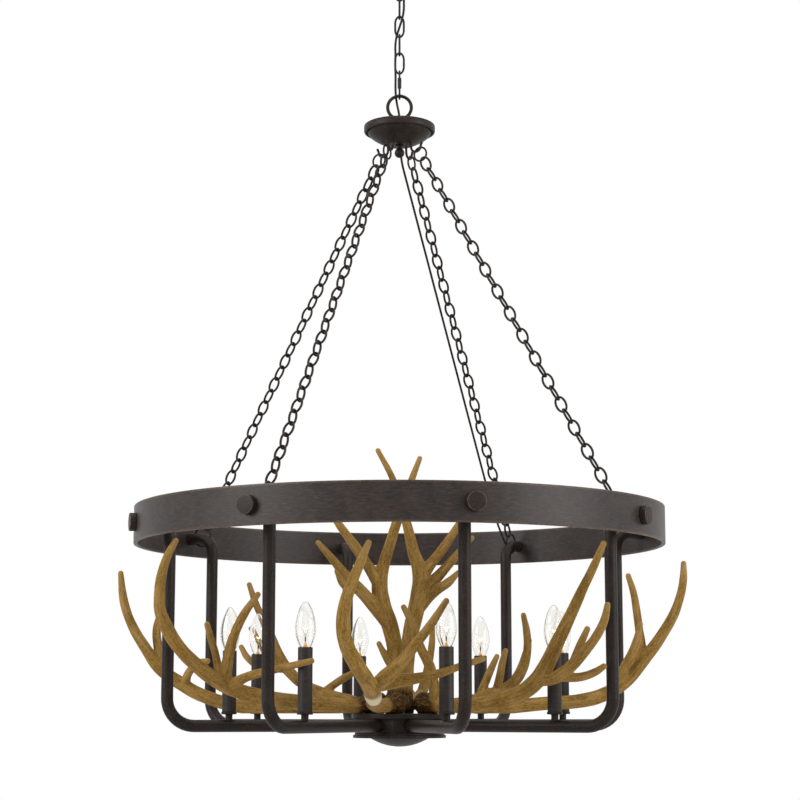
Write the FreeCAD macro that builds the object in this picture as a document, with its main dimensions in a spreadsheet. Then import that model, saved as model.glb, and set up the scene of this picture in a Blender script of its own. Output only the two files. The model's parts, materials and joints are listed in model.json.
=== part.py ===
import FreeCAD, Part
import Sketcher
import math
import os

# Antler chandelier, hung from a ceiling outlet box by a short chain.
# Frame: origin at the middle of the crossbar's top face, which is the ceiling plane.
# +Z points up and the fixture hangs in -Z. -Y is the side that faces the room.
# Heights inside the fixture are counted from the centre line of the arms' level runs.

# ------------------------------------------------------------------ driving dimensions, in mm
DIMENSIONS = {
    # ceiling hardware
    "crossbar_long": 110.0,
    "crossbar_wide": 20.0,
    "crossbar_thick": 2.5,
    "screw_spacing": 88.9,
    "screw_hole_rad": 2.4,
    "nipple_rad": 4.8,
    "nipple_bore_rad": 3.0,
    "nipple_long": 25.0,
    "locknut_flats": 14.0,
    "locknut_thick": 3.5,
    "ceiling_canopy_rad": 63.5,
    "ceiling_canopy_high": 24.0,
    "canopy_wall": 1.5,
    "collar_rad": 14.0,
    "collar_high": 5.0,
    # loops, quick link and hanging chain
    "loop_outer_rad": 22.25,
    "loop_wire_rad": 2.75,
    "neck_rad": 8.5,
    "neck_high": 9.0,
    "cord_bore_rad": 2.5,
    "link_long": 39.0,
    "link_wide": 18.0,
    "link_wire_rad": 1.8,
    "quick_long": 49.8,
    "quick_wide": 22.0,
    "quick_wire_rad": 1.65,
    "quick_nut_flats": 6.4,
    "quick_nut_long": 18.0,
    "wire_gap": 0.3,
    # body of the fixture
    "loop_above_arms": 1004.0,
    "top_canopy_rad": 58.5,
    "top_canopy_band": 12.5,
    "top_canopy_floor": 960.0,
    "canopy_crown": 3.0,
    "canopy_lip": 4.0,
    "canopy_groove": 1.5,
    "top_canopy_cone_rad": 20.0,
    "top_canopy_cone_high": 21.0,
    "ball_rad": 8.3,
    "ball_collar_rad": 7.0,
    "ball_collar_thick": 2.0,
    "ball_neck_high": 2.5,
    "hook_wire_rad": 2.0,
    "hook_bend_rad": 9.0,
    "hook_shank_at": 22.0,
    "hook_drop": 6.0,
    "hook_tip_high": 6.0,
    "hook_tip_lean": 2.5,
    "hook_sunk": 3.5,
    "ring_rad": 419.0,
    "ring_wall": 6.0,
    "ring_high": 58.0,
    "ring_middle": 309.5,
    "bolt_head_rad": 14.2,
    "bolt_head_high": 10.0,
    "bolt_hole_room": 0.2,
    "bolt_shank_rad": 4.0,
    "bolt_shank_long": 18.0,
    "arm_rad": 9.5,
    "arm_stub_long": 23.5,
    "arm_low_bend": 42.0,
    "arm_top_bend": 24.0,
    "hub_flats_rad": 64.5,
    "hub_gap": 1.0,
    "hub_plate_rad": 75.0,
    "hub_top_thick": 8.0,
    "hub_low_rad": 73.0,
    "hub_low_thick": 7.5,
    "hub_low_step": 3.0,
    "hub_low_inset": 2.5,
    "finial_rad": 45.0,
    "finial_high": 13.5,
    "hub_rod_rad": 4.5,
    "hub_rod_proud": 6.0,
    "hub_rod_seat": 5.0,
    "hub_nut_flats": 14.0,
    "hub_nut_thick": 5.0,
    # candles
    "candle_reach": 270.0,
    "stem_rad": 5.7,
    "stem_high": 8.0,
    "stem_sunk": 3.0,
    "cup_rad": 12.0,
    "cup_thick": 4.0,
    "sleeve_rad": 10.8,
    "sleeve_bore_rad": 9.6,
    "sleeve_high": 93.0,
    "socket_rad": 9.0,
    "socket_drop": 3.0,
    "socket_bore_rad": 6.3,
    "bulb_rad": 16.0,
    "bulb_base_rad": 6.0,
    "bulb_base_long": 25.0,
    "bulb_high": 67.0,
    # support chains
    "support_wire_rad": 1.9,
    "support_wide": 20.0,
    "hook_ring_rad": 13.0,
    "hook_ring_wire_rad": 1.65,
    "stub_ring_rad": 18.0,
    "stub_ring_wire_rad": 1.5,
    "stub_ring_slip": 1.5,
    # cords
    "cord_rad": 1.9,
}
ARM_COUNT = 8
FIRST_ARM_AZIMUTH = 14.5
SUPPORT_CHAIN_AZIMUTHS = [59.5, 149.5, 239.5, 329.5]
HANGING_LINKS = 5
SUPPORT_LINKS = 31
# azimuths of eight like pieces, where the node is turned as a whole
EVEN_AZIMUTHS = [90.0 + 45.0 * index for index in range(ARM_COUNT)]
# the flat end of a small link, as a share of its width, and its square wire's corners over round wire
SMALL_LINK_END = 0.55
SQUARE_WIRE_SWELL = 1.2
# half of the arm's stub as a slanted chain ring meets it, with a hair of room
STUB_HALF_ALONG_PULL = 11.1
# share of the shorter neighbouring run that a cord's arc takes up
BEND_SHARE = 0.45
# sides of the many-sided solids that stand in for round ones, from the hoop down to the cords
HOOP_SIDES = 48
PLATE_SIDES = 20
ROD_SIDES = 12
ARM_SIDES = 8
SLEEVE_SIDES = 8
BULB_SIDES = 8
SHANK_SIDES = 6
BALL_SIDES = 12
CORD_SIDES = 5
# flats of a loop and of a chain's end ring, and sides of their wire
LOOP_FLATS = 14
RING_FLATS = 8
LINK_WIRE_SIDES = 6
SMALL_WIRE_SIDES = 4
# how far a tool stands past what it cuts, or a shank into its head
CUT_PAST = 1.0
# outline of the ceiling canopy, as shares of its radius and height
CANOPY_SHOULDER = 0.82
CANOPY_BEND = 0.55
# outline of the hub's dome, from its foot up: shares of its radius and height
DOME_FORM = [(0.14, 1.0), (0.53, 0.74), (0.8, 0.38), (1.0, 0.0)]
# outline of the lamp's glass above its sleeve: shares of its radius and height
GLASS_FORM = [(0.64, 0.1), (0.9, 0.24), (1.0, 0.4), (0.9, 0.58), (0.66, 0.78), (0.1, 1.0)]
# level of the top of the ceiling loop's neck, inside the canopy
NECK_TOP_LEVEL = -16.0

# height of the hub plate's top face that the antlers' heights are counted with
ANTLER_DATUM = 18.5
BEAM_SIDES = 6
TINE_SIDES = 5

# An antler is a list of limbs. The first limb is the beam, from the root by the hub to the tip.
# A limb is a list of (outward, sideways, height, radius) in mm, in the antler's own upright plane.
# Each antler: name, azimuth from -Y towards +X in degrees, limbs.
FRONT_ANTLER = ("antler_1", 0.0, [
    [(40, -3, 33, 13), (47, -4, 33.5, 14.5), (56, -5, 33, 12), (80, -10, 31, 11), (150, -26, 34, 12.3),
     (205, -37, 38, 12.3), (270, -38, 46, 12.3), (330, -46, 65, 11.8), (370, -60, 88, 11.3),
     (395, -73, 114, 10.8), (407, -77, 141, 10.3), (409, -74, 169, 9.1), (407, -65, 198, 8.1),
     (398, -54, 226, 6.6), (385, -43, 254, 4)],
    [(290, -38, 54, 9.8), (312, -20, 70, 9.9), (322, 2, 90, 8.9), (328, 20, 112, 7.9),
     (332, 42, 140, 6.4), (336, 66, 176, 4)],
    [(300, -30, 60, 8.8), (298, -5, 65, 7.9), (302, 25, 68, 6.9), (304, 58, 76, 5.9),
     (308, 90, 87, 4.9), (309, 118, 96, 4)],
])
RIGHT_FRONT_ANTLER = ("antler_2", 50.0, [
    [(40, 0, 33, 13), (47, 0, 33.5, 14.5), (56, 0, 33, 12), (80, 0, 31, 11), (150, 0, 32, 11.8),
     (216, 0, 43, 11.8), (258, 0, 61, 12.8), (280, 0, 84, 12.3), (305, 0, 124, 10.8), (328, 0, 161, 9.1),
     (350, 0, 198, 7.6), (371, 0, 232, 6.1), (389, 0, 264, 4)],
    [(276, 0, 68, 9.8), (297, -3, 70, 9.9), (318, -6, 78, 9.4), (338, -9, 90, 8.9), (361, -11, 109, 7.9),
     (382, -12, 130, 6.9), (396, -12, 152, 5.9), (402, -12, 174, 4)],
    [(308, -4, 72, 7.8), (338, 8, 72, 6.4), (362, 13, 79, 5.4), (376, 15, 87, 4)],
    [(340, -9, 92, 6.8), (356, 2, 118, 5.9), (368, 6, 141, 4)],
    [(74, 0, 33, 9.8), (71, -11, 88, 8.4), (61, -21, 118, 7.4), (49, -29, 158, 5.9), (37, -34, 182, 4)],
])
RIGHT_ANTLER = ("antler_3", 95.0, [
    [(40, 0, 33, 13), (47, 0, 33.5, 14.5), (56, 0, 33, 12), (80, 0, 31, 11), (150, 0, 28, 11.3),
     (227, 0, 34, 10.8), (292, 0, 39, 11.3), (325, 0, 48, 11.3), (359, 0, 68, 10.8), (390, 0, 103, 10.3),
     (419, 0, 140, 9.1), (439, 0, 173, 8.1), (452, 0, 204, 7.1), (458, 0, 232, 6.1), (459, 0, 257, 4)],
    [(378, 0, 88, 8.8), (389, 12, 125, 7.4), (387, 17, 152, 6.9), (384, 18, 182, 6.4), (379, 18, 212, 5.4),
     (371, 16, 237, 4)],
    [(335, 0, 54, 8.8), (358, -16, 94, 7.9), (374, -24, 130, 6.9), (380, -26, 158, 4)],
])
RIGHT_BACK_ANTLER = ("antler_4", 130.0, [
    [(40, 0, 33, 13), (47, 0, 33.5, 14.5), (56, 0, 33, 12), (80, 0, 31, 10.5), (140, 0, 36, 10.8),
     (200, 0, 50, 10.3), (248, 0, 70, 9.1), (268, 0, 92, 8.1), (278, 0, 122, 7.1), (277, 0, 152, 6.1),
     (270, 0, 180, 4)],
    [(248, 0, 72, 7.8), (272, 10, 92, 6.9), (290, 17, 116, 5.9), (302, 20, 139, 4)],
    [(208, 0, 54, 7.8), (208, -7, 76, 6.9), (212, -9, 98, 5.9), (219, -10, 120, 4)],
    [(170, 0, 44, 7.8), (198, 16, 70, 6.9), (224, 30, 92, 5.9), (244, 38, 112, 4)],
])
BACK_ANTLER = ("antler_5", 172.0, [
    [(40, 0, 33, 13), (47, 0, 33.5, 14.5), (56, 0, 33, 12), (80, 0, 31, 10.5), (150, 0, 34, 11.3),
     (230, 0, 44, 10.8), (300, 0, 62, 9.1), (350, 0, 92, 7.6), (376, 0, 124, 4)],
    [(256, 0, 50, 7.8), (282, -9, 92, 6.9), (298, -14, 132, 5.9), (303, -15, 165, 4)],
    [(190, 0, 40, 6.8), (222, 18, 64, 6.4), (250, 26, 92, 4)],
])
LEFT_BACK_ANTLER = ("antler_6", -140.0, [
    [(40, 0, 33, 13), (47, 0, 33.5, 14.5), (56, 0, 33, 12), (80, 0, 31, 10.5), (125, 0, 38, 10.8),
     (204, 0, 52, 10.3), (259, 0, 70, 9.1), (304, 0, 95, 8.1), (366, 0, 132, 6.6), (401, 0, 163, 4)],
    [(268, 0, 76, 8.3), (288, 6, 96, 7.9), (306, 10, 120, 7.4), (328, 13, 154, 6.9), (368, 14, 204, 5.9),
     (388, 14, 238, 4)],
    [(300, 0, 92, 6.8), (334, 26, 96, 6.4), (360, 36, 112, 5.4), (376, 38, 130, 4)],
    [(196, 0, 52, 6.8), (162, -14, 74, 6.4), (130, -22, 88, 4)],
])
LEFT_ANTLER = ("antler_7", -95.0, [
    [(40, 0, 33, 13), (47, 0, 33.5, 14.5), (56, 0, 33, 12), (80, 0, 31, 11), (150, 0, 25, 11.3),
     (246, 0, 29, 10.8), (311, 0, 46, 10.8), (354, 0, 69, 10.8), (382, 0, 89, 10.3), (404, 0, 118, 9.1),
     (426, 0, 152, 8.1), (438, 0, 178, 7.6), (445, 0, 204, 6.6), (450, 0, 241, 4)],
    [(378, 0, 86, 8.3), (388, -14, 120, 7.9), (393, -20, 150, 6.9), (388, -22, 174, 5.9),
     (379, -22, 198, 4)],
    [(342, 0, 62, 7.8), (333, 14, 82, 6.4), (316, 24, 97, 5.4), (300, 30, 100, 4)],
])
LEFT_FRONT_ANTLER = ("antler_8", -60.0, [
    [(40, 0, 33, 13), (47, 0, 33.5, 14.5), (56, 0, 33, 12), (80, 0, 31, 11.5), (150, 0, 34, 12.3),
     (217, 0, 40, 11.8), (284, 0, 54, 11.8), (316, 0, 68, 11.3), (347, 0, 89, 10.8), (376, 0, 115, 10.3),
     (395, 0, 142, 10.3), (407, 0, 167, 9.1), (409, 0, 192, 8.6), (407, 0, 219, 7.6), (398, 0, 249, 6.1),
     (385, 0, 273, 4)],
    [(302, 0, 62, 9.8), (302, 8, 90, 8.9), (299, 12, 115, 8.4), (293, 15, 137, 7.4), (280, 18, 165, 6.4),
     (258, 20, 196, 4)],
    [(294, 0, 60, 8.8), (285, 40, 72, 7.4), (272, 84, 80, 6.4), (257, 126, 87, 5.4), (242, 166, 94, 4)],
    [(310, 0, 68, 6.8), (312, -12, 108, 5.9), (317, -16, 128, 5.4), (324, -17, 151, 4)],
])
UPRIGHT_LEFT_ANTLER = ("antler_9", 90.0, [
    [(-8, -22, 18.5, 13.5), (-8, -22, 36, 12.5), (-7, -22, 62, 12), (-6, -22, 95, 11.5), (-8, -26, 125, 12.8),
     (-16, -30, 157, 13.3), (-27, -34, 189, 13.3), (-31, -36, 220, 12.8), (-25, -37, 248, 9.8),
     (-14, -38, 284, 8.5), (-4, -38, 316, 8), (19, -36, 382, 5.5), (32, -34, 417, 3.6)],
    [(-31, -36, 216, 10.5), (-48, -44, 244, 9), (-68, -52, 274, 8), (-93, -60, 308, 6), (-106, -64, 326, 3.6)],
    [(-10, -28, 146, 10.5), (-45, -46, 190, 10.5), (-63, -54, 210, 9.5), (-84, -62, 232, 8),
     (-104, -70, 255, 6), (-126, -78, 280, 3.6)],
    [(-62, -52, 208, 7.5), (-86, -62, 216, 6), (-97, -68, 236, 3.6)],
    [(-8, -24, 84, 6.5), (-20, -32, 103, 5.5), (-32, -36, 126, 3.6)],
])
UPRIGHT_RIGHT_ANTLER = ("antler_10", 90.0, [
    [(8, 22, 18.5, 13.5), (8, 22, 36, 12.5), (10, 24, 62, 12), (12, 26, 95, 11.5), (16, 31, 135, 12.8),
     (25, 37, 176, 13.8), (32, 40, 209, 14.3), (33, 41, 242, 12.8), (22, 41, 276, 9.8), (13, 41, 317, 8),
     (-11, 42, 393, 5.5), (-35, 44, 440, 3.6)],
    [(34, 42, 236, 10.5), (52, 50, 258, 9), (72, 58, 284, 8), (90, 66, 312, 6), (102, 70, 334, 3.6)],
    [(34, 41, 204, 10.5), (62, 54, 236, 9), (88, 62, 266, 7), (118, 70, 300, 3.6)],
    [(28, 38, 180, 9.5), (58, 38, 212, 8), (78, 42, 226, 7), (94, 44, 242, 3.6)],
])
ANTLERS = [FRONT_ANTLER, RIGHT_FRONT_ANTLER, RIGHT_ANTLER, RIGHT_BACK_ANTLER, BACK_ANTLER,
           LEFT_BACK_ANTLER, LEFT_ANTLER, LEFT_FRONT_ANTLER, UPRIGHT_LEFT_ANTLER, UPRIGHT_RIGHT_ANTLER]

doc = FreeCAD.newDocument("antler_chandelier")
nodes = {}


# ------------------------------------------------------------------ the sheet and bound sizes
class Size:
    """A length in mm together with the sheet expression that drives it."""

    def __init__(self, value, text):
        self.value = value
        self.text = text

    def __add__(self, other):
        other = as_size(other)
        return Size(self.value + other.value, "(%s + %s)" % (self.text, other.text))

    def __sub__(self, other):
        other = as_size(other)
        return Size(self.value - other.value, "(%s - %s)" % (self.text, other.text))

    def __mul__(self, factor):
        return Size(self.value * factor, "%s * %.6f" % (self.text, factor))

    def __neg__(self):
        return Size(-self.value, "(0 - %s)" % self.text)


def as_size(number):
    """Give a plain number the form of a Size."""
    if isinstance(number, Size):
        return number
    return Size(float(number), "%.6f" % number)


def make_sheet():
    """Write every driving dimension into the sheet, one aliased cell each."""
    sheet = doc.addObject("Spreadsheet::Sheet", "dims")
    for row, (name, value) in enumerate(DIMENSIONS.items(), start=1):
        sheet.set("A%d" % row, name)
        sheet.set("B%d" % row, str(value))
        sheet.setAlias("B%d" % row, name)
    doc.recompute()
    return {name: Size(float(sheet.get(name)), "dims." + name) for name in DIMENSIONS}


dim = make_sheet()


def num(name):
    """The plain value of a driving dimension."""
    return dim[name].value


# ------------------------------------------------------------------ levels, from the ceiling down
loop_bar_rad = dim["loop_outer_rad"] - dim["loop_wire_rad"]
neck_top = -(dim["ceiling_canopy_high"] + dim["collar_high"])
ceiling_loop_middle = neck_top - dim["neck_high"] - dim["loop_outer_rad"] + dim["loop_wire_rad"] * 2
ceiling_loop_bar = ceiling_loop_middle - loop_bar_rad


def hang_from(parent_bar, parent_wire, child_wire):
    """Height of the top bar's centre of a link that hangs on the parent's bottom bar."""
    return parent_bar + parent_wire + child_wire + dim["wire_gap"]


link_tops = []
link_bars = [ceiling_loop_bar]
for link_index in range(HANGING_LINKS):
    parent_wire_rad = dim["link_wire_rad"] if link_index else dim["loop_wire_rad"]
    link_tops.append(hang_from(link_bars[-1], parent_wire_rad, dim["link_wire_rad"]))
    link_bars.append(link_tops[-1] - dim["link_long"] + dim["link_wire_rad"] * 2)
quick_top = hang_from(link_bars[-1], dim["link_wire_rad"], dim["quick_wire_rad"])
quick_bar = quick_top - dim["quick_long"] + dim["quick_wire_rad"] * 2
fixture_loop_top = hang_from(quick_bar, dim["quick_wire_rad"], dim["loop_wire_rad"])
fixture_loop_middle = fixture_loop_top - loop_bar_rad
arm_level = fixture_loop_middle - dim["loop_above_arms"]

arm_reach = dim["ring_rad"] - dim["ring_wall"] - dim["arm_stub_long"] - dim["arm_top_bend"]
plate_floor = dim["arm_rad"] + dim["hub_gap"]
plate_top = plate_floor + dim["hub_top_thick"]
low_plate_top = -(dim["arm_rad"] + dim["hub_gap"] * 2)
low_plate_floor = low_plate_top - dim["hub_low_thick"]
cup_floor = dim["arm_rad"] + dim["stem_high"]
sleeve_floor = cup_floor + dim["cup_thick"]
sleeve_top = sleeve_floor + dim["sleeve_high"]


# ------------------------------------------------------------------ modelling helpers
def origin_feature(body, role):
    """The body's own origin plane or axis of that role."""
    return [feature for feature in body.Origin.OriginFeatures if feature.Role == role][0]


def new_body(name, level=None):
    """A body of its own for one node, lifted to its level."""
    body = doc.addObject("PartDesign::Body", name)
    body.Label = name
    if level is not None:
        body.setExpression("Placement.Base.z", level.text)
    nodes[name] = body
    return body


def new_sketch(body, role, name, offset=None):
    """A sketch on one of the body's origin planes, moved along the plane's normal."""
    sketch = body.newObject("Sketcher::SketchObject", body.Name + "_" + name)
    sketch.AttachmentSupport = [(origin_feature(body, role), "")]
    sketch.MapMode = "FlatFace"
    if offset is not None:
        sketch.setExpression("AttachmentOffset.Base.z", as_size(offset).text)
    return sketch


def bind_point(sketch, geometry, vertex, point):
    """Drive one sketch point's distances from the origin by their sizes."""
    for axis, size in zip(("DistanceX", "DistanceY"), point):
        size = as_size(size)
        index = sketch.addConstraint(Sketcher.Constraint(axis, -1, 1, geometry, vertex, size.value))
        sketch.setExpression("Constraints[%d]" % index, size.text)


def outline(sketch, points):
    """A closed outline of straight lines through bound corners."""
    corners = [FreeCAD.Vector(as_size(x).value, as_size(y).value, 0) for x, y in points]
    first = sketch.GeometryCount
    count = len(points)
    for index in range(count):
        sketch.addGeometry(Part.LineSegment(corners[index], corners[(index + 1) % count]))
    for index in range(count):
        following = first + (index + 1) % count
        sketch.addConstraint(Sketcher.Constraint("Coincident", first + index, 2, following, 1))
    for index, point in enumerate(points):
        bind_point(sketch, first + index, 1, point)


def circle(sketch, radius, x=0.0, y=0.0):
    """A bound circle."""
    radius = as_size(radius)
    middle = FreeCAD.Vector(as_size(x).value, as_size(y).value, 0)
    index = sketch.addGeometry(Part.Circle(middle, FreeCAD.Vector(0, 0, 1), radius.value))
    constraint = sketch.addConstraint(Sketcher.Constraint("Radius", index, radius.value))
    sketch.setExpression("Constraints[%d]" % constraint, radius.text)
    bind_point(sketch, index, 3, (x, y))


def regular_outline(sketch, radius, sides, turn=0.0):
    """A regular polygon whose corners lie on a circle of that radius."""
    angles = [math.radians(turn + 360.0 * index / sides) for index in range(sides)]
    outline(sketch, [(radius * math.cos(angle), radius * math.sin(angle)) for angle in angles])


def pad(body, sketch, length, name="pad"):
    """Raise a sketch along its normal."""
    feature = body.newObject("PartDesign::Pad", body.Name + "_" + name)
    feature.Profile = sketch
    feature.setExpression("Length", as_size(length).text)
    return feature


def azimuth_turn(azimuth):
    """The turn about Z that takes +X to an azimuth counted from -Y towards +X."""
    return FreeCAD.Rotation(FreeCAD.Vector(0, 0, 1), azimuth - 90.0)


def shape_node(name, shape, level, azimuth=90.0):
    """A node whose shape is worked out here, turned and lifted into place."""
    feature = doc.addObject("Part::Feature", name)
    feature.Label = name
    feature.Shape = shape
    feature.Placement = FreeCAD.Placement(FreeCAD.Vector(0, 0, level.value), azimuth_turn(azimuth))
    nodes[name] = feature
    return feature


def flat_solid(faces):
    """A solid from faces given as lists of corners."""
    built = []
    for corners in faces:
        built.append(Part.Face(Part.makePolygon(corners + [corners[0]])))
    solid = Part.Solid(Part.Shell(built))
    if solid.Volume < 0:
        solid.reverse()
    return solid


def flat_wire(path, radius, sides, normal):
    """A closed ring of many-sided wire along a flat closed path, with mitred corners."""
    count = len(path)
    rings = []
    for index, point in enumerate(path):
        before = (point - path[index - 1]).normalize()
        after = (path[(index + 1) % count] - point).normalize()
        along = (before + after).normalize()
        outward = along.cross(normal).normalize()
        stretch = 1.0 / max(0.2, before.dot(along))
        ring = []
        for side in range(sides):
            angle = 2 * math.pi * (side + 0.5) / sides
            offset = outward * (radius * math.cos(angle) * stretch) + normal * (radius * math.sin(angle))
            ring.append(point + offset)
        rings.append(ring)
    faces = []
    for index in range(count):
        here = rings[index]
        there = rings[(index + 1) % count]
        for side in range(sides):
            following = (side + 1) % sides
            faces.append([here[side], here[following], there[following], there[side]])
    return flat_solid(faces)


def link_solid(length, width, wire_rad, middle, along, across):
    """One long link of six-sided wire: two straight sides and two ends of four flats."""
    half_width = width / 2 - wire_rad
    straight = length / 2 - wire_rad - half_width
    corner_rad = half_width / math.cos(math.pi / 8)
    path = []
    for end in (1, -1):
        for index in range(4):
            angle = math.pi * (index + 0.5) / 4
            x = end * corner_rad * math.cos(angle)
            y = end * (straight + corner_rad * math.sin(angle))
            path.append(middle + across * x + along * y)
    return flat_wire(path, wire_rad, LINK_WIRE_SIDES, along.cross(across).normalize())


def small_link_solid(length, width, wire_rad, middle, along, across):
    """One small oval link, drawn as a long hexagon of square wire."""
    half_length = length / 2 - wire_rad
    half_width = width / 2 - wire_rad
    end_width = half_width * SMALL_LINK_END
    corners = [(half_width, 0), (end_width, half_length), (-end_width, half_length),
               (-half_width, 0), (-end_width, -half_length), (end_width, -half_length)]
    path = [middle + across * x + along * y for x, y in corners]
    return flat_wire(path, wire_rad * SQUARE_WIRE_SWELL, SMALL_WIRE_SIDES, along.cross(across).normalize())


def ring_solid(middle, outer_rad, wire_rad, along, across, flats, sides):
    """A round ring of many-sided wire, with a flat of its path across the way along."""
    corner_rad = (outer_rad - wire_rad) / math.cos(math.pi / flats)
    path = []
    for index in range(flats):
        angle = 2 * math.pi * (index + 0.5) / flats
        path.append(middle + along * (corner_rad * math.cos(angle)) + across * (corner_rad * math.sin(angle)))
    return flat_wire(path, wire_rad, sides, along.cross(across).normalize())


def tapered_limb(points, sides):
    """A tapered many-sided limb through (outward, sideways, height, radius) points."""
    centres = [FreeCAD.Vector(x, y, z) for x, y, z, radius in points]
    count = len(points)
    side_way = FreeCAD.Vector(0, 1, 0)
    rings = []
    for index, centre in enumerate(centres):
        along = centres[min(index + 1, count - 1)] - centres[max(index - 1, 0)]
        along.normalize()
        side_way = (side_way - along * along.dot(side_way)).normalize()
        up_way = along.cross(side_way)
        radius = points[index][3]
        ring = []
        for side in range(sides):
            angle = 2 * math.pi * (side + 0.5) / sides
            ring.append(centre + side_way * (radius * math.cos(angle)) + up_way * (radius * math.sin(angle)))
        rings.append(ring)
    faces = [list(reversed(rings[0])), rings[-1]]
    for here, there in zip(rings, rings[1:]):
        for side in range(sides):
            following = (side + 1) % sides
            faces.append([here[side], here[following], there[following]])
            faces.append([here[side], there[following], there[side]])
    return flat_solid(faces)


def turned(profile, sides, outward=0.0, bored=False):
    """A many-sided turned solid from (radius, height) corners, standing at a distance from the axis.

    A bored one has a closed profile, so its last corner joins its first and it has no end faces.
    """
    rings = []
    for radius, height in profile:
        ring = []
        for side in range(sides):
            angle = 2 * math.pi * (side + 0.5) / sides
            x = outward + radius * math.cos(angle)
            ring.append(FreeCAD.Vector(x, radius * math.sin(angle), height))
        rings.append(ring)
    faces = [] if bored else [list(reversed(rings[0])), rings[-1]]
    following_rings = rings[1:] + rings[:1] if bored else rings[1:]
    for here, there in zip(rings, following_rings):
        for side in range(sides):
            following = (side + 1) % sides
            faces.append([here[side], here[following], there[following], there[side]])
    return flat_solid(faces)


def stand_at(solid, outward, height):
    """Lay a solid turned about Z along +X, with its own origin at a distance out and a height."""
    lying = FreeCAD.Rotation(FreeCAD.Vector(0, 1, 0), 90)
    laid = solid.copy()
    laid.Placement = FreeCAD.Placement(FreeCAD.Vector(outward, 0, height), lying)
    return laid


def around(solid, azimuths):
    """Copies of a solid turned about Z to each azimuth, kept as separate solids."""
    copies = []
    for azimuth in azimuths:
        turned_copy = solid.copy()
        turn = FreeCAD.Placement(FreeCAD.Vector(0, 0, 0), azimuth_turn(azimuth))
        turned_copy.Placement = turn * solid.Placement
        copies.append(turned_copy)
    return Part.makeCompound(copies)


# ------------------------------------------------------------------ ceiling hardware
def make_crossbar():
    """The strap screwed to the outlet box: two screw holes and a tapped centre hole."""
    body = new_body("crossbar")
    sketch = new_sketch(body, "XY_Plane", "strap", -dim["crossbar_thick"])
    half_long = dim["crossbar_long"] * 0.5
    half_wide = dim["crossbar_wide"] * 0.5
    outline(sketch, [(-half_long, -half_wide), (half_long, -half_wide),
                     (half_long, half_wide), (-half_long, half_wide)])
    circle(sketch, dim["screw_hole_rad"], dim["screw_spacing"] * 0.5)
    circle(sketch, dim["screw_hole_rad"], dim["screw_spacing"] * -0.5)
    regular_outline(sketch, dim["nipple_rad"], ROD_SIDES)
    pad(body, sketch, dim["crossbar_thick"])


def make_nipple_and_locknut():
    """The threaded tube through the crossbar and the nut that locks it from below."""
    body = new_body("canopy_nipple", -dim["nipple_long"])
    sketch = new_sketch(body, "XY_Plane", "tube")
    regular_outline(sketch, dim["nipple_rad"], ROD_SIDES)
    regular_outline(sketch, dim["nipple_bore_rad"], ROD_SIDES)
    pad(body, sketch, dim["nipple_long"])

    body = new_body("nipple_locknut", -(dim["crossbar_thick"] + dim["locknut_thick"]))
    sketch = new_sketch(body, "XY_Plane", "hexagon")
    regular_outline(sketch, dim["locknut_flats"] * (0.5 / math.cos(math.pi / 6)), 6)
    regular_outline(sketch, dim["nipple_rad"], ROD_SIDES)
    pad(body, sketch, dim["locknut_thick"])


def make_ceiling_canopy():
    """The cup that covers the outlet box, with its hole for the loop's neck."""
    floor = -num("ceiling_canopy_high")
    wall = num("canopy_wall")
    rim = num("ceiling_canopy_rad")
    hole = num("neck_rad")
    shoulder = rim * CANOPY_SHOULDER
    bend = floor * CANOPY_BEND
    corner = wall * 0.4
    profile = [(hole, floor), (shoulder, floor), (rim, bend), (rim, 0), (rim - wall, 0),
               (rim - wall, bend + corner), (shoulder - corner, floor + wall), (hole, floor + wall)]
    shape_node("ceiling_canopy", turned(profile, PLATE_SIDES, bored=True), as_size(0.0))


def make_canopy_collar():
    """The ring nut that holds the canopy up against the ceiling."""
    hole = num("neck_rad")
    rim = num("collar_rad")
    high = num("collar_high")
    profile = [(hole, 0), (rim, 0), (rim, high), (hole, high)]
    shape_node("canopy_collar", turned(profile, PLATE_SIDES, bored=True), neck_top)


def loop_shape(neck_length, way, across):
    """A wire loop about the origin with a drilled neck on it, above for way 1 or below for way -1."""
    wire_rad = num("loop_wire_rad")
    bar_rad = loop_bar_rad.value
    up = FreeCAD.Vector(0, 0, way)
    middle = FreeCAD.Vector(0, 0, 0)
    ring = ring_solid(middle, num("loop_outer_rad"), wire_rad, up, across, LOOP_FLATS, LINK_WIRE_SIDES)
    foot = way * (bar_rad - wire_rad)
    end = foot + way * neck_length
    neck = turned([(num("neck_rad"), foot), (num("neck_rad"), end)], PLATE_SIDES)
    bore_foot = foot - way * wire_rad
    bore_end = end + way * wire_rad
    bore = turned([(num("cord_bore_rad"), bore_foot), (num("cord_bore_rad"), bore_end)], ROD_SIDES)
    return ring.fuse(neck).cut(bore)


def make_loops():
    """The loop on the ceiling canopy and its twin, upside down, on the fixture."""
    neck_floor = ceiling_loop_middle.value + loop_bar_rad.value - num("loop_wire_rad")
    loop = loop_shape(NECK_TOP_LEVEL - neck_floor, 1, FreeCAD.Vector(0, 1, 0))
    thread_floor = -num("nipple_long") - ceiling_loop_middle.value
    thread_end = NECK_TOP_LEVEL - ceiling_loop_middle.value + CUT_PAST
    thread = turned([(num("nipple_rad"), thread_floor), (num("nipple_rad"), thread_end)], ROD_SIDES)
    thread.rotate(FreeCAD.Vector(0, 0, 0), FreeCAD.Vector(0, 0, 1), 180.0 / ROD_SIDES)
    shape_node("ceiling_loop", loop.cut(thread), ceiling_loop_middle)

    neck_length = (fixture_loop_middle - canopy_roof_level() - loop_bar_rad + dim["loop_wire_rad"]).value
    shape_node("fixture_loop", loop_shape(neck_length, -1, FreeCAD.Vector(1, 0, 0)), fixture_loop_middle)


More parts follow.
